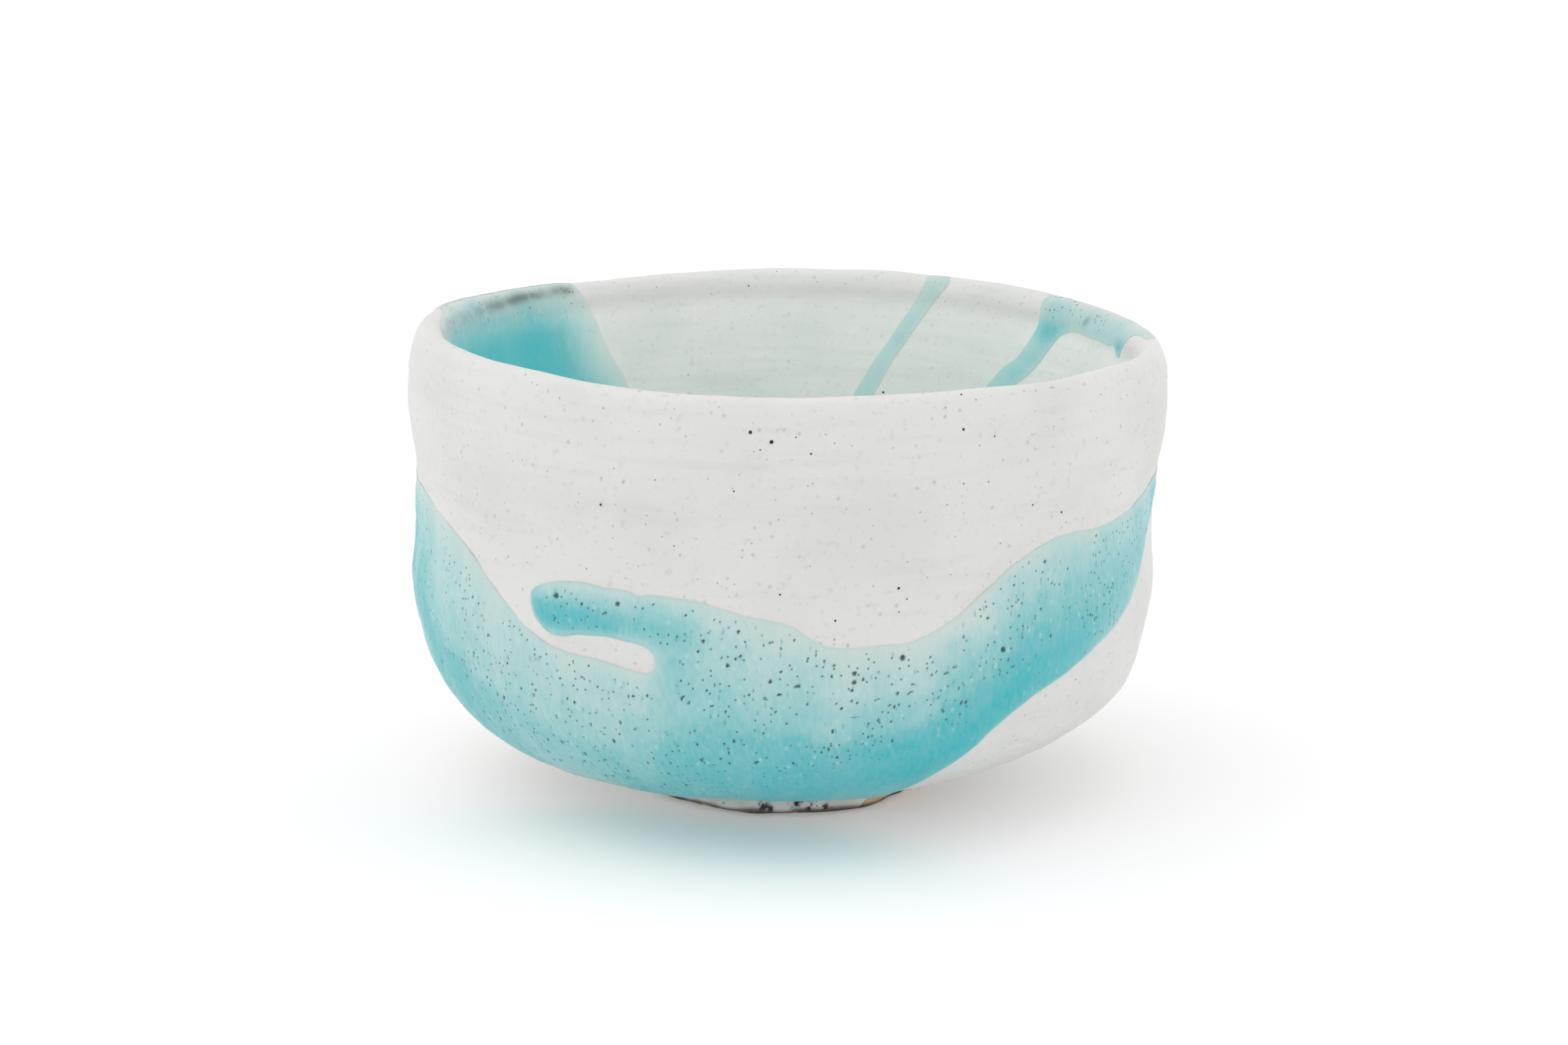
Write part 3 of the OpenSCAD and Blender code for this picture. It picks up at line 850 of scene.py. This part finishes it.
def white_glaze(name, wall_code, cup_code):
    """Satin white glaze with freckles of iron: wall_code outside, cup_code deeper in the cup."""
    g = Glaze(name, 0.5)
    cloud = g.noise(60, 4)
    lines = g.noise((45, 45, 620), 3, shift=(2, 5, 1))
    tone = g.mix(g.fact("inner"), fired(wall_code), fired(cup_code))
    grey = g.mix(g.fact("inner"), fired("#cbcac6"), fired("#c3c8c4"))
    colour = g.mix(g.between(cloud, 0.4, 0.7, 0, 0.25), tone, grey)
    colour = g.mix(g.between(lines, 0.5, 0.72, 0, 0.25), colour, grey)
    grains = g.noise(900, 2, shift=(1, 1, 4))
    colour = g.over(colour, g.between(grains, 0.56, 0.8, 0, 0.3), "#b5afa5")
    for cell, radius, seed, soft, strength, code in WHITE_MARKS:
        marks = g.specks(cell * MM, radius * MM, 0.6, seed, soft=soft)
        colour = g.over(colour, g.fainter(marks, strength), code)
    # The last marks are the pinholes, which are sunk.
    heights = g.sum(g.noise(420, 3), g.times(g.noise((70, 70, 900), 2), 0.8))
    heights = g.sum(heights, g.times(marks, 3.0), "SUBTRACT")
    # Painted light: brighter deep in the cup, and a painted highlight along the lip.
    colour = g.painted_cup_light(colour, 1.38, 1.07)
    return g.finish(colour, g.between(cloud, 0.3, 0.7, 0.44, 0.58), heights, 0.05 * MM)


TURQUOISE_STOPS = [
    (0.0, "#cfd7d4"), (0.2, "#b9d3d1"), (0.4, "#9ac9ca"), (0.6, "#7abec2"), (0.8, "#64bac0"),
    (1.0, "#4ab4bd"),
]


def turquoise_glaze(name):
    """Turquoise glaze: milky where thin and deep where thick, pinholed and streaked down its run."""
    g = Glaze(name, 0.35, 0.22)
    wall = g.fact("wall", vector=True)
    edge = g.fact("edge")
    mottle = g.noise((1300, 500, 1), 3, vector=wall)
    strength = g.between(g.fact("tint"), 0.3, 0.7, 0.08, 0.15)
    strength = g.times(strength, g.between(g.fact("inner"), 0, 1, 1, 0.35))
    drift = g.noise((170, 70, 1), 3, vector=wall, shift=(3, 1, 0))
    value = g.sum(g.fact("tint"), g.times(g.between(mottle, 0.3, 0.7, -0.5, 0.5), strength))
    value = g.sum(value, g.between(drift, 0.3, 0.7, -0.05, 0.05))
    value = g.times(value, g.between(edge, 0, 1.5 * MM, 0.78, 1))
    colour = g.ramp(value, TURQUOISE_STOPS)
    line = g.times(g.between(edge, 0, 0.15 * MM), g.between(edge, 0.6 * MM, 0.25 * MM))
    rim = g.mix(g.between(g.fact("tint"), 0.4, 0.7), fired("#8fa9aa"), fired("#cfd2ca"))
    line = g.times(line, g.between(g.fact("tint"), 0.1, 0.7, 0.05, 0.4))
    line = g.times(line, g.between(g.fact("inner"), 0, 0.1, 1, 0))
    colour = g.mix(line, colour, rim)
    # Pinholes come in clumps and keep off the edge: round ones, long ones lower down, pale scars.
    clumps = g.between(g.noise((120, 90, 1), 2, vector=wall, shift=(7, 2, 0)), 0.38, 0.55)
    sound = g.times(clumps, g.between(edge, 0.5 * MM, 1.5 * MM))
    sound = g.times(sound, g.between(g.fact("tint"), 0.85, 0.6, 0.25, 1))
    sound = g.times(sound, g.between(g.fact("inner"), 0, 1, 1, 0.3))
    scars = g.times(g.specks(2.1 * MM, 0.5 * MM, 0.4, 2.2, wall, 1.3, 0.1), sound)
    colour = g.over(colour, g.times(scars, 0.42), "#c3dcda")
    long = g.times(g.specks(1.7 * MM, 0.24 * MM, 0.5, 8.2, wall, 3.0, 0.2), sound)
    colour = g.over(colour, g.times(long, 0.4), "#4c8d93")
    fine = g.times(g.specks(1.3 * MM, 0.19 * MM, 0.4, 5.2, wall, 1.1), sound)
    colour = g.over(colour, g.times(fine, 0.75), "#4a7a7d")
    pit = g.fact("pit")
    colour = g.over(colour, g.between(pit, 0.3, 0.8, 0, 0.9), "#365253")
    darkened = g.times(g.fact("smear"), g.between(g.noise(260, 4), 0.3, 0.65, 0.4, 1))
    colour = g.over(colour, g.times(darkened, 0.85), "#6f7672")
    holes = g.sum(g.times(fine, 2.0), long)
    heights = g.sum(g.noise((500, 200, 1), 3, vector=wall), holes, "SUBTRACT")
    # Painted light: brighter deep in the cup, lifting the shade there.
    return g.finish(g.painted_cup_light(colour, 1.24), g.between(drift, 0.3, 0.7, 0.3, 0.42), heights, 0.06 * MM)


def bare_clay(name):
    """Fired stoneware: tan, with dark iron grains, and darker within about a millimetre of the table."""
    g = Glaze(name, 0.85, 0.3)
    cloud = g.noise(90, 5)
    colour = g.ramp(cloud, [(0.3, "#b79a7e"), (0.5, "#d2b79b"), (0.7, "#e3d0ba")])
    height = g.add("SeparateXYZ", {0: g.where})[2]
    # Darker towards the bottom, within 1.2 mm of the table.
    darkened = g.times(g.between(height, 1.2 * MM, 0.5 * MM), g.between(g.noise(240, 3), 0.25, 0.5))
    colour = g.over(colour, g.times(darkened, 0.9), "#57504a")
    iron = g.specks(1.4 * MM, 0.26 * MM, 0.5, 3.3)
    colour = g.over(colour, g.times(iron, 0.7), "#57493e")
    heights = g.sum(g.noise(700, 4, rough=0.7), g.noise(2200, 2))
    return g.finish(colour, g.between(cloud, 0.3, 0.7, 0.78, 0.92), heights, 0.12 * MM)


def foot_glaze(name):
    """Thin whitish glaze over the foot, broken by iron spots, grey where it runs out."""
    g = Glaze(name, 0.55)
    cloud = g.noise(160, 4)
    colour = g.ramp(cloud, [(0.3, "#c9c9c4"), (0.5, "#dcdcd8"), (0.7, "#e6e7e3")])
    thin = g.fact("thin")
    colour = g.over(colour, g.times(thin, 0.9), "#54504c")
    small = g.specks(1.2 * MM, 0.25 * MM, 0.5, 6.4)
    colour = g.over(colour, g.times(small, 0.7), "#6d6862")
    ragged = g.times(g.fact("iron"), g.between(g.noise(900, 3), 0.42, 0.58, 0.15, 1))
    colour = g.over(colour, ragged, "#3d3833")
    return g.finish(colour, g.between(cloud, 0.3, 0.7, 0.45, 0.65), g.noise(500, 3), 0.08 * MM)


def iron_spot(name):
    """Iron melted through the glaze: near black, with a brown bloom."""
    g = Glaze(name, 0.45)
    colour = g.ramp(g.noise(900, 2), [(0.3, "#302c28"), (0.6, "#4a433b"), (0.8, "#6a5846")])
    return g.finish(colour)


def studio_floor(name):
    """Pale floor that glows a little, so that the bowl's shadow on it stays light."""
    g = Glaze(name, 0.7, 0.0)
    g.shader.inputs["Emission Color"].default_value = (1, 1, 1, 1)
    g.shader.inputs["Emission Strength"].default_value = 0.2
    colour = g.mix(g.between(g.noise(3, 2), 0.3, 0.7), (0.79, 0.79, 0.79, 1), (0.81, 0.81, 0.81, 1))
    return g.finish(colour)


white_outer = white_glaze("white_glaze", "#dbdbd9", "#dbdbd9")
white_inner = white_glaze("inner_white_glaze", "#dbdbd9", "#d8d6d2")
turquoise = turquoise_glaze("turquoise_glaze")
clay = bare_clay("bare_clay")
thin_white = foot_glaze("thin_white_glaze")
iron = iron_spot("iron")

# ---------------------------------------------------------------- foot

foot_unevenness = waves(31, 12, 2.5 * MM, 12 * MM, 0.10 * MM)


def foot_radius(a):
    """The foot's outer edge at angle a: flats left by the knife, their corners worn a little round."""
    corners = np.radians([angle for angle, _ in FOOT_CUTS])
    reach = np.array([part * foot_r for _, part in FOOT_CUTS])
    x, y = reach * np.cos(corners), reach * np.sin(corners)
    total = 0
    spread = np.radians([-3.6, -1.8, 0, 1.8, 3.6])
    for turn in spread:
        look = a[:, None] + turn
        nx, ny = np.roll(y, -1) - y, x - np.roll(x, -1)
        hit = (x * nx + y * ny) / (np.cos(look) * nx + np.sin(look) * ny)
        total = total + np.where(hit > 0, hit, 1).min(axis=1)
    return total / len(spread)


def foot_piece():
    """The foot ring with its recess, as rings of points from its top, round the outside, to the middle."""
    columns = COAT_COLUMNS
    a = np.linspace(0, 2 * np.pi, columns, endpoint=False)
    outer = foot_radius(a)
    rows = [(outer - 0.2 * MM, foot_h + FOOT_SINK), (outer, foot_h)]
    rows += [(outer, foot_h * k) for k in (0.9, 0.8, 0.7, 0.6, 0.5, 0.4, 0.3)]
    rows += [(outer - 0.08 * MM, 1.1 * MM), (outer - 0.3 * MM, 0.5 * MM), (outer - 0.75 * MM, 0.12 * MM)]
    rows += [(outer - 1.3 * MM, 0)]
    rows += [(outer + (recess_r + 0.9 * MM - outer) * k, 0) for k in (0.33, 0.67, 1)]
    rows += [(recess_r + 0.35 * MM, 0.25 * MM), (recess_r, 0.8 * MM)]
    rows += [(recess_r - 0.6 * MM * k, 0.8 * MM + (foot_h - 1.9 * MM) * k) for k in (0.33, 0.67, 1)]
    rows += [(recess_r - 1.3 * MM, foot_h - 0.45 * MM), (recess_r - 2.4 * MM, foot_h - 0.15 * MM)]
    inner = np.linspace(recess_r - 3.4 * MM, 0.5 * MM, 34)
    rows += [(r, foot_h - 0.1 * MM) for r in inner]
    points = []
    for r, z in rows:
        r = np.broadcast_to(r, a.shape).copy()
        x, y = r * np.cos(a), r * np.sin(a)
        uneven = foot_unevenness(x, y, np.full_like(a, z))
        on_ring = 1 if z < foot_h - 0.2 * MM else 0
        ceiling = (r < recess_r - 2 * MM) & (z > foot_h / 2)
        spiral = 0.12 * MM * np.sin(2 * np.pi * r / (2.1 * MM) + a)
        nub = 0.9 * MM * np.exp(-((r / (2.6 * MM)) ** 2))
        height = np.full_like(a, z) - np.where(ceiling, 0.12 * MM + spiral + nub, 0)
        r = r + on_ring * uneven * (z > 0.05 * MM)
        height = np.maximum(height + uneven * 0.5 * ceiling, 0)
        chipped = 0.35 * MM * bump(np.degrees(a), 360 - 40, 5) * (z < 1.2 * MM) * (r > recess_r + 2 * MM)
        points.append(np.stack([(r - chipped) * np.cos(a), (r - chipped) * np.sin(a), height], axis=1))
    middles = [[0, 0, foot_h + FOOT_SINK], [0, 0, foot_h - 1.1 * MM]]
    points, faces = capped(np.concatenate(points), columns, True, middles)
    return mesh_object("foot", points, faces, clay, ["foot_ring"], crease=40)


def on_foot(a, height, proud):
    """Points proud of the foot's outer face."""
    uneven = foot_unevenness(foot_radius(a) * np.cos(a), foot_radius(a) * np.sin(a), height)
    r = foot_radius(a) + uneven + proud - 0.25 * MM * smooth_step(-height, -0.9 * MM, -0.4 * MM)
    return np.stack([r * np.cos(a), r * np.sin(a), height], axis=-1)


foot_edge = waves(41, 10, 2.5 * MM, 9 * MM, 0.22 * MM)


def foot_coat(a, height):
    """Distance inside the foot's glaze: it stops short of the table and leaves a bare patch."""
    x, y = foot_r * np.cos(a), foot_r * np.sin(a)
    lower = height - (0.55 * MM + 0.5 * foot_edge(x, y, 0 * a))
    middle = math.radians((BARE_FROM + BARE_TO) / 2)
    half = math.radians((BARE_TO - BARE_FROM) / 2)
    away = np.abs((a - middle + np.pi) % (2 * np.pi) - np.pi)
    patch = (away - half) * foot_r + foot_edge(x, y, height * 3) + 1.2 * (height - 2.5 * MM)
    return np.minimum(lower, patch)


def foot_coat_piece():
    """The foot's thin glaze, all the way round but for the bare patch."""
    middle = math.radians((BARE_FROM + BARE_TO) / 2)
    angles = np.linspace(middle, middle + 2 * np.pi, 600)[1:-1]
    heights = np.linspace(0.3 * MM, foot_h + 0.1 * MM, 20)

    def proud(a, height):
        return 0.03 * MM + (foot_glaze_t - 0.03 * MM) * rounded(foot_coat(a, height), 0.9 * MM)

    def thin(a, height):
        return 1 - smooth_step(foot_coat(a, height), 0.15 * MM, 0.9 * MM)

    def iron_marks(a, height):
        """Where iron burnt through the foot's glaze in blotches."""
        total = 0
        for deg, at, half in FOOT_MARKS:
            near = bump(np.degrees(a), deg + 360, math.degrees(half * MM / foot_r))
            total = total + near * bump(height, at * MM, half * MM)
        return clamp(1.4 * total)

    return clipped_skin(
        "foot_glaze_coat", angles, heights, foot_coat, proud, on_foot, thin_white,
        ["foot_glaze"], {"thin": thin, "iron": iron_marks},
    )


foot_piece()
foot_coat_piece()

# ---------------------------------------------------------------- clay and white glaze


def eased_rows(start, end, count, fine_start=False, fine_end=False):
    """Arcs from start to end, closer together at a fine end."""
    t = np.linspace(0, 1, count)
    if fine_end:
        t = 1 - (1 - t) ** 1.5
    if fine_start:
        t = t**1.5
    return start + (end - start) * t


outer_arcs = eased_rows(0, crest_arc, 170, fine_end=True)
inner_arcs = eased_rows(crest_arc, end_arc - MIDDLE_GAP, 170, fine_start=True)
clay_rows = [(arc, -CLAY_DEPTH) for arc in np.linspace(0, crest_arc, 90)]
clay_rows += [(arc, -CLAY_DEPTH) for arc in np.linspace(crest_arc, end_arc - MIDDLE_GAP, 90)[1:]]
turned_shell("clay", clay_rows, PLAIN_COLUMNS, clay, ["clay_body"], True)
base_roll = 1.0 * MM
outer_rows = [(arc, -0.4 * MM * (1 - rounded(arc, base_roll))) for arc in outer_arcs]
outer_rows += [(arc, -white_t) for arc in np.linspace(crest_arc, 0, 24)]
turned_shell(
    "white_glaze_outside", outer_rows, COAT_COLUMNS, white_outer, ["white_outside"], False
)
inner_rows = [(arc, -white_t) for arc in np.linspace(end_arc - MIDDLE_GAP, crest_arc, 24)]
inner_rows += [(arc, 0) for arc in inner_arcs]
turned_shell(
    "white_glaze_inside", inner_rows, COAT_COLUMNS, white_inner, ["white_inside"], True
)

# ---------------------------------------------------------------- turquoise glaze

# The belt's grid: how far apart its angles are in front and behind, and its arcs
FRONT_STEP = math.radians(0.38)
BACK_STEP = math.radians(0.9)
BELT_ROW = 0.4 * MM


def poured_skin(name, node, angles, arcs, keep, in_the_cup):
    """A pour of turquoise, with what its material reads."""
    if in_the_cup:
        thickness = inside_thickness
        facts = {"tint": inside_tint, "smear": smear, "edge": poured_inside}
    else:
        thickness = outside_thickness
        facts = {"tint": outside_tint, "pit": pitted, "edge": poured_outside}
    return clipped_skin(
        name, angles, arcs, keep, thickness, on_wall, turquoise, [node], facts
    )


def belt_piece():
    """The main pour, with a finer grid over the front."""
    front_from, front_to = math.radians(-168), math.radians(-8)
    angles = np.concatenate([
        np.arange(math.radians(-242), front_from, BACK_STEP),
        np.arange(front_from, front_to, FRONT_STEP),
        np.arange(front_to, math.radians(11), BACK_STEP),
    ])
    arcs = np.arange(outside_arc(foot_h + 0.2 * MM), outside_arc(56.5 * MM), BELT_ROW)

    def keep(a, arc):
        below_seam = np.where(a < seam_left, back_seam(a) - arc, 1)
        return np.minimum(poured_outside(a, arc), below_seam)

    return poured_skin("turquoise_belt", "turquoise_band", angles, arcs, keep, False)


def back_sheet_piece():
    """The pour over the lip, down to its seam with the belt."""
    low = min(back_left, back_right)
    angles = np.arange(low - 0.16, seam_left, math.radians(0.6))
    arcs = np.linspace(outside_arc(47 * MM), crest_arc, 60)

    def keep(a, arc):
        return np.minimum(poured_outside(a, arc), arc - back_seam(a))

    return poured_skin("turquoise_over_lip", "turquoise_sheet_back", angles, arcs, keep, False)


def inside_piece(name, node, run_at, from_deg, to_deg, step, over=0.0):
    """One of the pours inside, from that far over the crest down to the pool's edge."""
    angles = np.radians(np.arange(from_deg, to_deg, step))
    pool_arc = inside_arc(floor_h + 0.1 * MM)
    arcs = np.arange(crest_arc - over, pool_arc, 0.5 * MM)

    def keep(a, arc):
        return np.minimum(flowed(run_at, a, arc), -in_pool(a, arc))

    return poured_skin(name, node, angles, arcs, keep, True)


def pool_piece():
    """The pool on the floor: rings out to its uneven edge, closed underneath."""
    columns = PLAIN_COLUMNS
    a = np.linspace(0, 2 * np.pi, columns, endpoint=False)
    floor = SECTION_Z[CREST:] < floor_h + 8 * MM
    radii, arcs = SECTION_R[CREST:][floor][::-1], SECTION_ARC[CREST:][floor][::-1]
    parts = 1 - (1 - np.linspace(0.03, 1, 46)) ** 1.6
    face_a = np.tile(a, len(parts))
    face_arc = np.interp(np.outer(parts, pool_edge(a)).ravel(), radii, arcs)
    back_parts = np.array([1, 0.75, 0.5, 0.25, 0.06])
    back_a = np.tile(a, len(back_parts))
    back_arc = np.interp(np.outer(back_parts, pool_edge(a)).ravel(), radii, arcs)
    face = on_wall(face_a, face_arc, inside_thickness(face_a, face_arc))
    back = on_wall(back_a, back_arc, np.full(len(back_a), -BACK_SUNK))
    points, faces = capped(np.concatenate([face, back]), columns, True)
    all_a = np.concatenate([face_a, back_a, [0, 0]])
    all_arc = np.concatenate([face_arc, back_arc, [end_arc, end_arc]])
    facts = {"tint": inside_tint(all_a, all_arc), "smear": np.zeros(len(all_a))}
    facts.update(facts_at(all_a, all_arc))
    facts["wall"] = points.copy()
    facts["edge"] = poured_inside(all_a, all_arc)
    return mesh_object(
        "turquoise_pool_inside", points, faces, turquoise, ["turquoise_pool"], facts
    )


belt_piece()
back_sheet_piece()
inside_piece("turquoise_sheet", "turquoise_sheet_inside", sheet_inside, 96, 200, 0.6)
inside_piece("turquoise_thin_run", "turquoise_run_thin", thin_run, 56, 96, 0.25, 3 * MM)
inside_piece("turquoise_forked_run", "turquoise_run_forked", forked_run, -4, 84, 0.3, 3 * MM)
pool_piece()

# ---------------------------------------------------------------- iron spots in the white glaze

# The spots that stand out on the front: [angle, height in mm, half width in mm]
IRON_SPOTS = [
    (-95.5, 68.3, 0.3), (-92.5, 67, 0.32), (-108.6, 60.7, 0.32), (-117.2, 55.8, 0.2), (-106, 50.7, 0.16),
    (-114, 46.6, 0.2), (-115.8, 46.9, 0.15), (-102.5, 46, 0.15), (-90.7, 44, 0.15), (-82.8, 40, 0.26),
    (-73.6, 44.4, 0.22), (-73.5, 40.8, 0.16), (-65.1, 67.7, 0.22), (-73.5, 62, 0.22), (-64.7, 59.6, 0.18),
    (-52.1, 54.8, 0.16), (-45.8, 52.7, 0.2), (-77.2, 71.6, 0.2), (-65, 72.6, 0.24), (-49, 72.2, 0.18),
    (-89.2, 67.7, 0.14), (-87, 65.3, 0.16), (-97.4, 59.6, 0.14), (-60, 66.2, 0.14), (-45, 60.3, 0.18),
]


def iron_spots():
    """Small lens-shaped beads of iron, sunk into the white glaze."""
    rng = np.random.default_rng(12)
    spots = [(math.radians(a), outside_arc(h * MM), half * MM) for a, h, half in IRON_SPOTS]
    for _ in range(60):
        a = math.radians(rng.uniform(-10, 190))
        spots.append((a, outside_arc(rng.uniform(12, 71) * MM), rng.uniform(0.12, 0.28) * MM))
    for _ in range(40):
        a = rng.uniform(0, 2 * math.pi)
        spots.append((a, rng.uniform(crest_arc + 3 * MM, crest_arc + 75 * MM), rng.uniform(0.12, 0.25) * MM))
    sides = 10
    turn = np.linspace(0, 2 * np.pi, sides, endpoint=False)
    points, faces, count = [], [], 0
    for a, arc, half in spots:
        r = float(radius_at(arc))
        rings = [(0.0, 0.035 * MM), (0.6, 0.03 * MM), (1.0, -0.01 * MM), (0.0, -0.15 * MM)]
        at = []
        for part, lift in rings:
            across = part * half * np.cos(turn if part else turn[:1])
            down = part * half * np.sin(turn if part else turn[:1])
            at.append(on_wall(a + across / r, arc + down, np.full(len(across), lift)))
        points.append(np.concatenate(at))
        ring, edge, bottom = count + 1, count + 1 + sides, count + 1 + 2 * sides
        faces.append(fan_faces(sides, ring, count, False))
        faces.append(ring + ring_faces(2, sides, False)[:, ::-1])
        faces.append(fan_faces(sides, edge, bottom, True))
        count = bottom + 1
    return mesh_object("iron_spots", np.concatenate(points), faces, iron)


iron_spots()

# ---------------------------------------------------------------- floor, light and camera


def staged_floor():
    """A plain square floor, in a grid of n by n points."""
    half = 25 * bowl_r
    n = 12
    line = np.linspace(-half, half, n)
    points = [(x, y, 0) for y in line for x in line]
    firsts = [j * n + i for j in range(n - 1) for i in range(n - 1)]
    faces = [(k, k + 1, k + n + 1, k + n) for k in firsts]
    mesh = bpy.data.meshes.new("floor")
    mesh.from_pydata(points, [], faces)
    mesh.materials.append(studio_floor("studio_floor"))
    floor = bpy.data.objects.new("floor", mesh)
    bpy.context.scene.collection.objects.link(floor)


def soft_light(name, towards, spread, power):
    """A broad far light that shines along towards, its edges spread degrees apart."""
    light = bpy.data.lights.new(name, "SUN")
    light.angle = math.radians(spread)
    light.energy = power
    lamp = bpy.data.objects.new(name, light)
    lamp.location = -10 * bowl_r * Vector(towards)
    lamp.rotation_euler = Vector(towards).to_track_quat("-Z", "Y").to_euler()
    bpy.context.scene.collection.objects.link(lamp)


def studio():
    """A white room, brighter near the horizon and to both sides, with one wide soft light."""
    world = bpy.data.worlds.new("studio")
    world.use_nodes = True
    tree = world.node_tree

    def node(kind, inputs, **settings):
        made = tree.nodes.new("ShaderNode" + kind)
        for key, value in settings.items():
            setattr(made, key, value)
        for key, value in inputs.items():
            if isinstance(value, bpy.types.NodeSocket):
                tree.links.new(value, made.inputs[key])
            else:
                made.inputs[key].default_value = value
        return made.outputs

    way = node("SeparateXYZ", {0: node("TexCoord", {})["Generated"]})
    ends = {"From Min": 0, "From Max": 0.7, "To Min": 1.24, "To Max": 0.9}
    upward = node("MapRange", {"Value": way[2], **ends})[0]
    squared = node("Math", {0: way[0], 1: 2}, operation="POWER")[0]
    sideways = node("Math", {0: squared, 1: 0.35, 2: 0.86}, operation="MULTIPLY_ADD")[0]
    strength = node("Math", {0: upward, 1: sideways}, operation="MULTIPLY")[0]
    background = tree.nodes["Background"]
    tree.links.new(strength, background.inputs["Strength"])
    background.inputs["Color"].default_value = (1, 1, 1, 1)
    bpy.context.scene.world = world
    bpy.context.scene.view_settings.view_transform = "Standard"
    staged_floor()
    soft_light("key", (0.2, 0.1, -1), 70, 0.65)


# The camera, in widths of the bowl: how far off it stands, how far to the side, how high it
# stands and how high it aims. The lens is in millimetres.
CAMERA_AWAY, CAMERA_ASIDE, CAMERA_HIGH, AIM_HIGH = 5, -0.004, 1.474, 0.345
LENS = 88.45


def photo_camera():
    """A long lens, a little above the bowl, looking slightly down at it."""
    width = 2 * bowl_r
    data = bpy.data.cameras.new("camera")
    data.sensor_width = 36
    data.lens = LENS
    camera = bpy.data.objects.new("camera", data)
    place = width * Vector((CAMERA_ASIDE, -CAMERA_AWAY, CAMERA_HIGH))
    aim = width * Vector((CAMERA_ASIDE, 0, AIM_HIGH))
    camera.location = place
    camera.rotation_euler = (aim - place).to_track_quat("-Z", "Y").to_euler()
    data.clip_start = bowl_r / 10
    data.clip_end = 100 * bowl_r
    bpy.context.scene.collection.objects.link(camera)
    bpy.context.scene.camera = camera


studio()
photo_camera()
